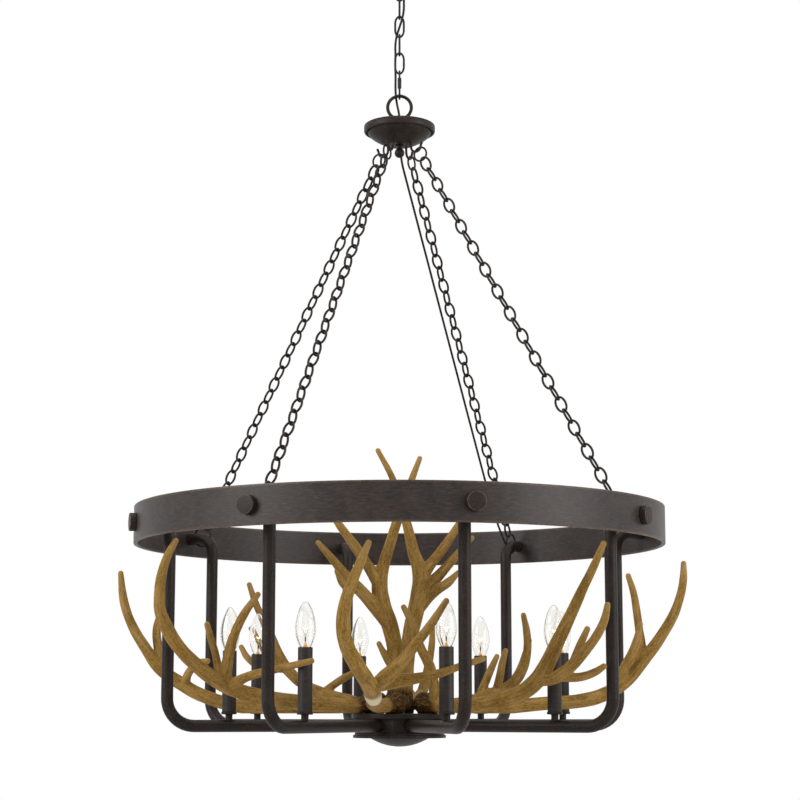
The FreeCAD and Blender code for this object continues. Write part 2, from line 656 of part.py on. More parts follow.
def canopy_roof_level():
    """The level of the top canopy's roof in the part's frame."""
    return arm_level + dim["top_canopy_floor"] + dim["top_canopy_band"] + dim["canopy_crown"]


# ------------------------------------------------------------------ hanging chain
def make_hanging_chain():
    """Five welded links, each turned a quarter against the last, and the quick link with its nut."""
    up = FreeCAD.Vector(0, 0, 1)
    origin = FreeCAD.Vector(0, 0, 0)
    wire_rad = num("link_wire_rad")
    for index in range(HANGING_LINKS):
        across = FreeCAD.Vector(1, 0, 0) if index % 2 == 0 else FreeCAD.Vector(0, 1, 0)
        middle = (link_tops[index] + link_bars[index + 1]) * 0.5
        solid = link_solid(num("link_long"), num("link_wide"), wire_rad, origin, up, across)
        shape_node("chain_link_%d" % (index + 1), solid, middle)
    across = FreeCAD.Vector(0, 1, 0)
    middle = (quick_top + quick_bar) * 0.5
    quick_rad = num("quick_wire_rad")
    solid = link_solid(num("quick_long"), num("quick_wide"), quick_rad, origin, up, across)
    shape_node("quick_link", solid, middle)

    body = new_body("quick_link_nut", middle - dim["quick_nut_long"] * 0.5)
    sketch = new_sketch(body, "XY_Plane", "hexagon")
    regular_outline(sketch, dim["quick_nut_flats"] * (0.5 / math.cos(math.pi / 6)), 6)
    regular_outline(sketch, dim["quick_wire_rad"] * (1.05 / math.cos(math.pi / 6)), 6)
    pad(body, sketch, dim["quick_nut_long"])
    body.setExpression("Placement.Base.y", (dim["quick_wire_rad"] - dim["quick_wide"] * 0.5).text)


# ------------------------------------------------------------------ top canopy, its hooks and its ball
def make_top_canopy():
    """The turned cap at the top of the fixture: a banded rim over a shallow cone."""
    floor = num("top_canopy_floor")
    roof = floor + num("top_canopy_band")
    crown = roof + num("canopy_crown")
    rim = num("top_canopy_rad")
    tip = num("top_canopy_cone_rad")
    tip_level = floor - num("top_canopy_cone_high")
    hole = num("nipple_bore_rad")
    lip = rim - num("canopy_lip")
    groove = num("canopy_groove")
    profile = [(hole, crown), (num("collar_rad"), crown), (rim, roof), (rim, floor), (lip, floor),
               (lip - groove, floor + groove), (lip - 2 * groove, floor - groove), (tip, tip_level),
               (hole, tip_level)]
    shape_node("top_canopy", turned(profile, PLATE_SIDES, bored=True), arm_level)


def make_ball_finial():
    """The small ball that closes the canopy from below."""
    tip_level = num("top_canopy_floor") - num("top_canopy_cone_high")
    ball = num("ball_rad")
    collar = num("ball_collar_rad")
    collar_floor = tip_level - num("ball_collar_thick")
    middle = collar_floor - num("ball_neck_high") - ball
    profile = [(ball * math.cos(math.radians(angle)), middle + ball * math.sin(math.radians(angle)))
               for angle in (-75, -45, -15, 15, 45, 65)]
    profile = profile + [(profile[-1][0], collar_floor), (collar, collar_floor), (collar, tip_level)]
    shape_node("ball_finial", turned(profile, BALL_SIDES), arm_level)


def hook_bend_middle():
    """Centre of a hook's round bend, as (outward, height) in the fixture."""
    level = num("top_canopy_floor") - num("top_canopy_cone_high") - num("hook_drop")
    return num("hook_shank_at") + num("hook_bend_rad"), level


def make_canopy_hooks():
    """Four J hooks of round wire under the canopy, one for each support chain."""
    outward, level = hook_bend_middle()
    bend = num("hook_bend_rad")
    points = [(num("hook_shank_at"), 0, level + num("hook_drop") + num("hook_sunk"))]
    for angle in (180, 210, 240, 270, 300, 330, 360):
        turn = math.radians(angle)
        points.append((outward + bend * math.cos(turn), 0, level + bend * math.sin(turn)))
    points.append((outward + bend + num("hook_tip_lean"), 0, level + num("hook_tip_high")))
    wire = [point + (num("hook_wire_rad"),) for point in points]
    hook = tapered_limb(wire, SHANK_SIDES)
    shape_node("canopy_hooks", around(hook, SUPPORT_CHAIN_AZIMUTHS), arm_level)


# ------------------------------------------------------------------ support chains
def pull_line():
    """Start, direction and length of a taut support chain, in its own radial plane."""
    outward, level = hook_bend_middle()
    stub_at = arm_reach.value + num("arm_top_bend") - num("stub_ring_slip")
    stub = FreeCAD.Vector(stub_at, 0, num("ring_middle"))
    bend_middle = FreeCAD.Vector(outward, 0, level)
    pull = (stub - bend_middle).normalize()
    inside_bend = num("hook_bend_rad") - num("hook_wire_rad")
    start = bend_middle + pull * (inside_bend - 2 * num("hook_ring_wire_rad") + num("hook_ring_rad"))
    finish = stub - pull * (num("stub_ring_rad") - 2 * num("stub_ring_wire_rad") - STUB_HALF_ALONG_PULL)
    return start, pull, (finish - start).Length


def make_support_chain(name, azimuth):
    """A round ring on the hook, welded links turned by quarters, and a ring round the arm's stub."""
    start, pull, distance = pull_line()
    sideways = FreeCAD.Vector(0, 1, 0)
    normal = pull.cross(sideways).normalize()
    wire = num("support_wire_rad")
    hook_wire = num("hook_ring_wire_rad")
    stub_wire = num("stub_ring_wire_rad")
    hook_bar = num("hook_ring_rad") - hook_wire
    stub_bar = num("stub_ring_rad") - stub_wire
    first_top = hook_bar - hook_wire - wire
    last_bar = distance - stub_bar + stub_wire + wire
    pitch = (last_bar - first_top - 2 * wire) / SUPPORT_LINKS
    length = pitch + 4 * wire
    hook_ring = num("hook_ring_rad")
    stub_ring = num("stub_ring_rad")
    solids = [ring_solid(start, hook_ring, hook_wire, pull, sideways, RING_FLATS, SMALL_WIRE_SIDES)]
    for index in range(SUPPORT_LINKS):
        across = normal if index % 2 == 0 else sideways
        middle = start + pull * (first_top + pitch * index + (length - 2 * wire) / 2)
        solids.append(small_link_solid(length, num("support_wide"), wire, middle, pull, across))
    finish = start + pull * distance
    solids.append(ring_solid(finish, stub_ring, stub_wire, pull, sideways, RING_FLATS, SMALL_WIRE_SIDES))
    shape_node(name, Part.makeCompound(solids), arm_level, azimuth)
    return length


# ------------------------------------------------------------------ ring band and its bolts
def make_ring_band():
    """The flat hoop, with a clearance hole for each bolt."""
    half = num("ring_high") / 2
    low = num("ring_middle") - half
    high = num("ring_middle") + half
    outer = num("ring_rad") / math.cos(math.pi / HOOP_SIDES)
    inner = (num("ring_rad") - num("ring_wall")) / math.cos(math.pi / HOOP_SIDES)
    hoop = turned([(inner, low), (outer, low), (outer, high), (inner, high)], HOOP_SIDES, bored=True)
    hole_rad = num("bolt_shank_rad") + num("bolt_hole_room")
    drill = turned([(hole_rad, -2 * num("ring_wall")), (hole_rad, num("ring_wall"))], SHANK_SIDES)
    holes = around(stand_at(drill, num("ring_rad"), num("ring_middle")), EVEN_AZIMUTHS)
    shape_node("ring_band", hoop.cut(holes), arm_level, FIRST_ARM_AZIMUTH)


def turn_body(body, azimuth):
    """Turn a body about Z, keeping the level its placement is bound to."""
    body.Placement = FreeCAD.Placement(body.Placement.Base, azimuth_turn(azimuth))


def make_ring_bolts():
    """Round-headed bolts through the hoop into the arms' stubs."""
    shank = num("bolt_shank_rad")
    head = num("bolt_head_rad")
    high = num("bolt_head_high")
    shank_part = turned([(shank, -num("bolt_shank_long")), (shank, CUT_PAST)], SHANK_SIDES)
    head_part = turned([(head, 0), (head, high)], SLEEVE_SIDES)
    bolt = stand_at(head_part.fuse(shank_part), num("ring_rad"), num("ring_middle"))
    shape_node("ring_bolts", around(bolt, EVEN_AZIMUTHS), arm_level, FIRST_ARM_AZIMUTH)


# ------------------------------------------------------------------ arms
def bend_corners(middle_x, middle_y, radius, start, finish, count):
    """Corners of straight pieces that touch a round bend, from one angle to the other in degrees."""
    step = (finish - start) / count
    corner_rad = radius * (1 / math.cos(math.radians(step / 2)))
    corners = []
    for index in range(count):
        angle = math.radians(start + step * (index + 0.5))
        corners.append((middle_x + corner_rad * math.cos(angle), middle_y + corner_rad * math.sin(angle)))
    return corners


def arm_spine(body):
    """The arm's centre line: level run, low bend, post, top bend and stub."""
    sketch = new_sketch(body, "XZ_Plane", "spine")
    low = dim["arm_low_bend"]
    top = dim["arm_top_bend"]
    middle = dim["ring_middle"]
    points = [(dim["hub_flats_rad"], as_size(0.0))]
    points += bend_corners(arm_reach - low, low, low, -90.0, 0.0, 4)
    points += bend_corners(arm_reach + top, middle - top, top, 180.0, 90.0, 3)
    points.append((dim["ring_rad"] - dim["ring_wall"], middle))
    corners = [FreeCAD.Vector(x.value, y.value, 0) for x, y in points]
    for start, finish in zip(corners, corners[1:]):
        sketch.addGeometry(Part.LineSegment(start, finish))
    for index in range(1, len(points) - 1):
        sketch.addConstraint(Sketcher.Constraint("Coincident", index - 1, 2, index, 1))
    for index, point in enumerate(points[:-1]):
        bind_point(sketch, index, 1, point)
    bind_point(sketch, len(points) - 2, 2, points[-1])
    return sketch


def make_arm(name, azimuth):
    """One bent arm, from the hub's flat to the inside of the hoop."""
    body = new_body(name, arm_level)
    spine = arm_spine(body)
    profile = new_sketch(body, "YZ_Plane", "profile", dim["hub_flats_rad"])
    regular_outline(profile, dim["arm_rad"], ARM_SIDES, 90.0)
    doc.recompute()
    pipe = body.newObject("PartDesign::AdditivePipe", name + "_pipe")
    pipe.Profile = profile
    pipe.Spine = spine
    pipe.Transition = "Right corner"
    turn_body(body, azimuth)


# ------------------------------------------------------------------ hub
def make_hub():
    """Eight-sided block that the arms are welded to, a plate above and below it, and the finial."""
    body = new_body("hub_block", arm_level)
    sketch = new_sketch(body, "XY_Plane", "octagon", low_plate_top)
    regular_outline(sketch, dim["hub_flats_rad"] * (1 / math.cos(math.pi / 8)), 8, 22.5)
    regular_outline(sketch, dim["hub_rod_rad"], ROD_SIDES, 180.0 / ROD_SIDES)
    pad(body, sketch, plate_floor - low_plate_top)
    turn_body(body, FIRST_ARM_AZIMUTH)

    hole = num("hub_rod_rad")
    plate = num("hub_plate_rad")
    floor = plate_floor.value
    top = plate_top.value
    profile = [(hole, floor), (plate, floor), (plate, top), (hole, top)]
    shape_node("hub_top_plate", turned(profile, PLATE_SIDES, bored=True), arm_level, FIRST_ARM_AZIMUTH)

    low_rad = num("hub_low_rad")
    step_rad = low_rad - num("hub_low_inset")
    top = low_plate_top.value
    step = top - num("hub_low_step")
    floor = low_plate_floor.value
    profile = [(hole, top), (step_rad, top), (step_rad, step), (low_rad, step), (low_rad, floor),
               (hole, floor)]
    shape_node("hub_bottom_plate", turned(profile, PLATE_SIDES, bored=True), arm_level, FIRST_ARM_AZIMUTH)

    dome = num("finial_rad")
    depth = num("finial_high")
    seat = floor - depth + num("hub_rod_seat")
    finial = turned([(dome * wide, floor - depth * low) for wide, low in DOME_FORM], PLATE_SIDES)
    pit = turned([(hole, seat), (hole, floor + CUT_PAST)], ROD_SIDES)
    shape_node("bottom_finial", finial.cut(pit), arm_level, FIRST_ARM_AZIMUTH)

    rod = turned([(hole, seat), (hole, plate_top.value + num("hub_rod_proud"))], ROD_SIDES)
    shape_node("hub_rod", rod, arm_level, FIRST_ARM_AZIMUTH)

    body = new_body("hub_rod_nut", arm_level)
    sketch = new_sketch(body, "XY_Plane", "hexagon", plate_top)
    regular_outline(sketch, dim["hub_nut_flats"] * (0.5 / math.cos(math.pi / 6)), 6)
    regular_outline(sketch, dim["hub_rod_rad"], ROD_SIDES, 180.0 / ROD_SIDES)
    pad(body, sketch, dim["hub_nut_thick"])
    turn_body(body, FIRST_ARM_AZIMUTH)


# ------------------------------------------------------------------ antlers
def make_antler(name, azimuth, limbs):
    """One cast antler: a many-sided beam with its tines fused to it."""
    beam = tapered_limb(limbs[0], BEAM_SIDES)
    tines = [tapered_limb(limb, TINE_SIDES) for limb in limbs[1:]]
    solid = beam.fuse(tines)
    shape_node(name, solid, arm_level + plate_top - ANTLER_DATUM, azimuth)


# ------------------------------------------------------------------ candles
def make_candle_cups():
    """Stem and cup in one, tapped into the arm."""
    stem = num("stem_rad")
    cup = num("cup_rad")
    seat = num("arm_rad") - num("stem_sunk")
    edge = num("cup_thick") * 0.25
    floor = cup_floor.value
    profile = [(stem, seat), (stem, floor), (cup, floor + edge), (cup, sleeve_floor.value)]
    piece = turned(profile, SLEEVE_SIDES, num("candle_reach"))
    shape_node("candle_cups", around(piece, EVEN_AZIMUTHS), arm_level, FIRST_ARM_AZIMUTH)


def make_candle_sleeves():
    """The eight tubes that hide the sockets."""
    outer = num("sleeve_rad")
    inner = num("sleeve_bore_rad")
    floor = sleeve_floor.value
    top = sleeve_top.value
    profile = [(inner, floor), (outer, floor), (outer, top), (inner, top)]
    piece = turned(profile, SLEEVE_SIDES, num("candle_reach"), bored=True)
    shape_node("candle_sleeves", around(piece, EVEN_AZIMUTHS), arm_level, FIRST_ARM_AZIMUTH)


def make_lamp_sockets():
    """Socket bodies inside the sleeves, each with the bore that the lamp screws into."""
    outer = num("socket_rad")
    bore = num("socket_bore_rad")
    floor = sleeve_floor.value
    top = sleeve_top.value - num("socket_drop")
    depth = num("bulb_base_long") - num("socket_drop") + num("wire_gap")
    body = turned([(outer, floor), (outer, top)], BULB_SIDES, num("candle_reach"))
    pit = turned([(bore, top - depth), (bore, top + CUT_PAST)], BULB_SIDES, num("candle_reach"))
    shape_node("lamp_sockets", around(body.cut(pit), EVEN_AZIMUTHS), arm_level, FIRST_ARM_AZIMUTH)


def make_bulb(name, azimuth):
    """A candle lamp: screw base down in the sleeve and a torpedo of glass above it."""
    glass = num("bulb_rad")
    base = num("bulb_base_rad")
    high = num("bulb_high")
    top = sleeve_top.value
    foot = top - num("bulb_base_long")
    profile = [(base, foot), (base, top)] + [(glass * wide, top + high * up) for wide, up in GLASS_FORM]
    shape_node(name, turned(profile, BULB_SIDES, num("candle_reach")), arm_level, azimuth)


# ------------------------------------------------------------------ cords
def cord_tube(points, radius):
    """A round tube along straight runs joined by arcs that touch them; gives its length and arc radii."""
    spots = [FreeCAD.Vector(*point) for point in points]
    edges = []
    radii = []
    last = spots[0]
    for before, corner, after in zip(spots, spots[1:], spots[2:]):
        back = (before - corner).normalize()
        ahead = (after - corner).normalize()
        turn = math.pi - back.getAngle(ahead)
        shorter = min((before - corner).Length, (after - corner).Length)
        setback = BEND_SHARE * shorter
        radii.append(setback / math.tan(turn / 2))
        start = corner + back * setback
        finish = corner + ahead * setback
        halfway = (back + ahead).normalize()
        to_centre = math.hypot(radii[-1], setback)
        middle = corner + halfway * (to_centre - radii[-1])
        edges.append(Part.LineSegment(last, start).toShape())
        edges.append(Part.Arc(start, middle, finish).toShape())
        last = finish
    edges.append(Part.LineSegment(last, spots[-1]).toShape())
    path = Part.Wire(edges)
    first_way = (spots[1] - spots[0]).normalize()
    side_way = first_way.cross(FreeCAD.Vector(0, 1, 0)).normalize()
    up_way = first_way.cross(side_way)
    corners = []
    for side in range(CORD_SIDES):
        angle = 2 * math.pi * side / CORD_SIDES
        corners.append(spots[0] + side_way * (radius * math.cos(angle)) + up_way * (radius * math.sin(angle)))
    section = Part.makePolygon(corners + corners[:1])
    tube = path.makePipeShell([section], True, False)
    expected = Part.Face(section).Area * path.Length
    if abs(tube.Volume - expected) > 0.02 * expected:
        raise RuntimeError("a cord's volume doesn't match its length")
    return tube, path.Length, radii


# Route points are (x, y, z) in mm. The main cord hangs from the ceiling loop's bore, weaves
# through the third link and runs down beside the chain into the fixture loop's bore.
MAIN_CORD_ROUTE = [
    (0.0, 0.0, -30.0), (0.2, 0.0, -42.0), (3.6, -2.4, -55.0), (7.6, -5.4, -70.0), (8.2, -6.4, -88.0),
    (7.2, -6.2, -106.0), (7.4, -6.0, -122.0), (5.0, -4.0, -136.0), (0.2, 0.0, -150.0),
    (-4.8, 4.0, -164.0), (-7.2, 6.0, -179.0), (-6.6, 6.6, -197.0), (-7.2, 6.0, -215.0),
    (-6.4, 6.4, -233.0), (-6.8, 6.6, -251.0), (-6.2, 6.8, -267.0), (-4.2, 4.6, -282.0),
    (-1.0, 1.2, -297.0), (0.0, 0.0, -310.0), (0.1, 0.0, -320.0),
]
# The feed cord, in the upright plane of its chain: (outward, sideways, height above the arms).
FEED_CORD_AZIMUTH = 149.5
FEED_CORD_ROUTE = [
    (24.0, 12.0, 947.0), (24.6, 12.2, 935.0), (30.0, 13.0, 917.0), (44.0, 13.0, 893.0),
    (330.0, 13.0, 392.0), (346.0, 11.0, 362.0), (353.0, 6.0, 338.0), (360.0, 1.5, 321.0),
    (368.5, 0.0, 307.0),
]


def make_cords():
    """The main cord beside the chain and the feed cord down to one arm."""
    tube, length, radii = cord_tube(MAIN_CORD_ROUTE, num("cord_rad"))
    shape_node("main_cord", tube, as_size(0.0))
    print("main cord: length %.0f mm, arc radii %s" % (length, [round(value) for value in radii]))
    tube, length, radii = cord_tube(FEED_CORD_ROUTE, num("cord_rad"))
    shape_node("feed_cord", tube, arm_level, FEED_CORD_AZIMUTH)
    print("feed cord: length %.0f mm, arc radii %s" % (length, [round(value) for value in radii]))


# ------------------------------------------------------------------ the whole object
def build():
    """Make every node."""
    make_crossbar()
    make_nipple_and_locknut()
    make_ceiling_canopy()
    make_canopy_collar()
    make_loops()
    make_hanging_chain()
    make_top_canopy()
    make_ball_finial()
    make_canopy_hooks()
    for index, azimuth in enumerate(SUPPORT_CHAIN_AZIMUTHS, start=1):
        link_length = make_support_chain("support_chain_%d" % index, azimuth)
    print("support chain link length %.2f mm" % link_length)
    make_ring_band()
    make_ring_bolts()
    for index in range(ARM_COUNT):
        make_arm("arm_%d" % (index + 1), FIRST_ARM_AZIMUTH + 360.0 * index / ARM_COUNT)
    make_hub()
    for name, azimuth, limbs in ANTLERS:
        make_antler(name, azimuth, limbs)
    make_candle_cups()
    make_lamp_sockets()
    make_candle_sleeves()
    for index in range(ARM_COUNT):
        make_bulb("bulb_%d" % (index + 1), FIRST_ARM_AZIMUTH + 360.0 * index / ARM_COUNT)
    make_cords()


def check_and_export():
    """Check every object's state and every node's shape, then write the files."""
    doc.recompute()
    for item in doc.Objects:
        if "Invalid" in item.State or "Error" in item.State:
            raise RuntimeError("%s failed: %s" % (item.Name, item.State))
    for name, item in nodes.items():
        shape = item.Shape
        if shape.isNull() or not shape.isValid() or shape.Volume <= 0:
            raise RuntimeError("%s has no valid solid" % name)
    os.makedirs("parts", exist_ok=True)
    for name, item in nodes.items():
        item.Shape.exportStep("parts/%s.step" % name)
    print("%d nodes, arms' level at z = %.2f mm" % (len(nodes), arm_level.value))


build()
check_and_export()
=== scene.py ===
import json
import math

import bpy
import numpy as np
from mathutils import Matrix, Vector, geometry, noise

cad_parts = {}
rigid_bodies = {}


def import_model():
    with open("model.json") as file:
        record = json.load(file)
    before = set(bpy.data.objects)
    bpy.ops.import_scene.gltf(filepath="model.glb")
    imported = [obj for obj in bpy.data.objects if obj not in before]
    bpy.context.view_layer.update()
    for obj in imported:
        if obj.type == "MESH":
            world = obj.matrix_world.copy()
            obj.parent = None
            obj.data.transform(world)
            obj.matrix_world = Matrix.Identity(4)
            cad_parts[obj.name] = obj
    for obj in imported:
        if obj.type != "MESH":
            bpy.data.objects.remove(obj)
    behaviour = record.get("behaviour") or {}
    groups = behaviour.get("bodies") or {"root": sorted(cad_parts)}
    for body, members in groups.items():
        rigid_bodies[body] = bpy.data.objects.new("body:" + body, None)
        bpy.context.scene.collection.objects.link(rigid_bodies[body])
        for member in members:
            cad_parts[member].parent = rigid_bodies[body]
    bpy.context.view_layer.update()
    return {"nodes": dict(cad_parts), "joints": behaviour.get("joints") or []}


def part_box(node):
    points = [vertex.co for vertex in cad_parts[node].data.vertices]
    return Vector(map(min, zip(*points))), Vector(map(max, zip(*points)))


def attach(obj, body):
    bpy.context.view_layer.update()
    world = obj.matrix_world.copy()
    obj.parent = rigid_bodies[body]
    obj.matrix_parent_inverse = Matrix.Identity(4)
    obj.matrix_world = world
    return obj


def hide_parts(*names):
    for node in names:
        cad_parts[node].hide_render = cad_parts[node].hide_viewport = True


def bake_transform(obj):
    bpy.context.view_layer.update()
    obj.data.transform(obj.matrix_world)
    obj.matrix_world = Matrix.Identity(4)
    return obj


bl_info = {
    "name": "Antler Chandelier",
    "version": (1, 0, 0),
    "blender": (4, 5, 0),
    "location": "View3D > Sidebar > Chandelier",
    "description": "Dresses the antler chandelier: metal, cast antlers, candle lamps, chains and cords",
    "category": "Object",
}

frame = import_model()

MM = 0.001

# ------------------------------------------------------------------ places read from the frame
HUB_PLATE_ABOVE_ARMS = 18.5
LOOP_OUTER_RAD = 22.25
BOWL_DEEP = 21.0
HUB_PLATE_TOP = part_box("hub_top_plate")[1].z
ARM_LEVEL = HUB_PLATE_TOP - HUB_PLATE_ABOVE_ARMS * MM
HOOP_LOW, HOOP_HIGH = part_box("ring_band")
HOOP_MIDDLE = (HOOP_LOW.z + HOOP_HIGH.z) / 2
LINK_NAMES = ["chain_link_%d" % number for number in range(1, 6)]
FIXTURE_LOOP_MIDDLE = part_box("fixture_loop")[1].z - LOOP_OUTER_RAD * MM
CEILING_LOOP_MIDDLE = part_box("ceiling_loop")[0].z + LOOP_OUTER_RAD * MM
SLEEVE_TOP = (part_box("candle_sleeves")[1].z - ARM_LEVEL) / MM
BULB_HIGH = (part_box("bulb_1")[1].z - ARM_LEVEL) / MM - SLEEVE_TOP
TOP_CANOPY_TIP = (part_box("top_canopy")[0].z - ARM_LEVEL) / MM
TOP_CANOPY_FLOOR = TOP_CANOPY_TIP + BOWL_DEEP
HUB_LOW_FACE = (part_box("hub_bottom_plate")[0].z - ARM_LEVEL) / MM
HUB_LOWEST = (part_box("bottom_finial")[0].z - ARM_LEVEL) / MM

# ------------------------------------------------------------------ sizes in mm, as in the part
ARM_COUNT = 8
FIRST_ARM_AZIMUTH = 14.5
ARM_AZIMUTHS = [FIRST_ARM_AZIMUTH + 45.0 * index for index in range(ARM_COUNT)]
SUPPORT_CHAIN_AZIMUTHS = [59.5, 149.5, 239.5, 329.5]
HOOP_RAD = 419.0
HOOP_WALL = 6.0
HOOP_HIGH_MM = 58.0
HOOP_ABOVE_ARMS = 309.5
ARM_RAD = 9.5
ARM_REACH = 365.5
ARM_LOW_BEND = 42.0
ARM_TOP_BEND = 24.0
HUB_FLATS_RAD = 64.5
CANDLE_REACH = 270.0
SLEEVE_RAD = 10.8
SLEEVE_BORE_RAD = 9.6
SLEEVE_FLOOR = 21.5
LOOP_WIRE_RAD = 2.75
LOOP_BAR_RAD = LOOP_OUTER_RAD - LOOP_WIRE_RAD
NECK_RAD = 8.5
LINK_LONG = 39.0
LINK_WIDE = 18.0
LINK_WIRE_RAD = 1.8
QUICK_LONG = 49.8
QUICK_WIDE = 22.0
QUICK_WIRE_RAD = 1.65
QUICK_NUT_RAD = 3.65
QUICK_NUT_LONG = 17.6
SUPPORT_LINKS = 31
SUPPORT_WIDE = 20.0
SUPPORT_WIRE_RAD = 1.9
HOOK_RING_RAD = 13.0
HOOK_RING_WIRE_RAD = 1.65
STUB_RING_RAD = 18.0
STUB_RING_WIRE_RAD = 1.5
STUB_HALF_ALONG_PULL = 11.1
STUB_RING_BACK = 1.5
HOOK_SHANK_AT = 22.0
HOOK_BEND_RAD = 9.0
HOOK_WIRE_RAD = 2.0
HOOK_BEND_BELOW = 6.0
CORD_RAD = 1.9
DOME_RAD = 44.6
# what a dressed rod stays inside its solid
ROD_INSIDE = 0.1

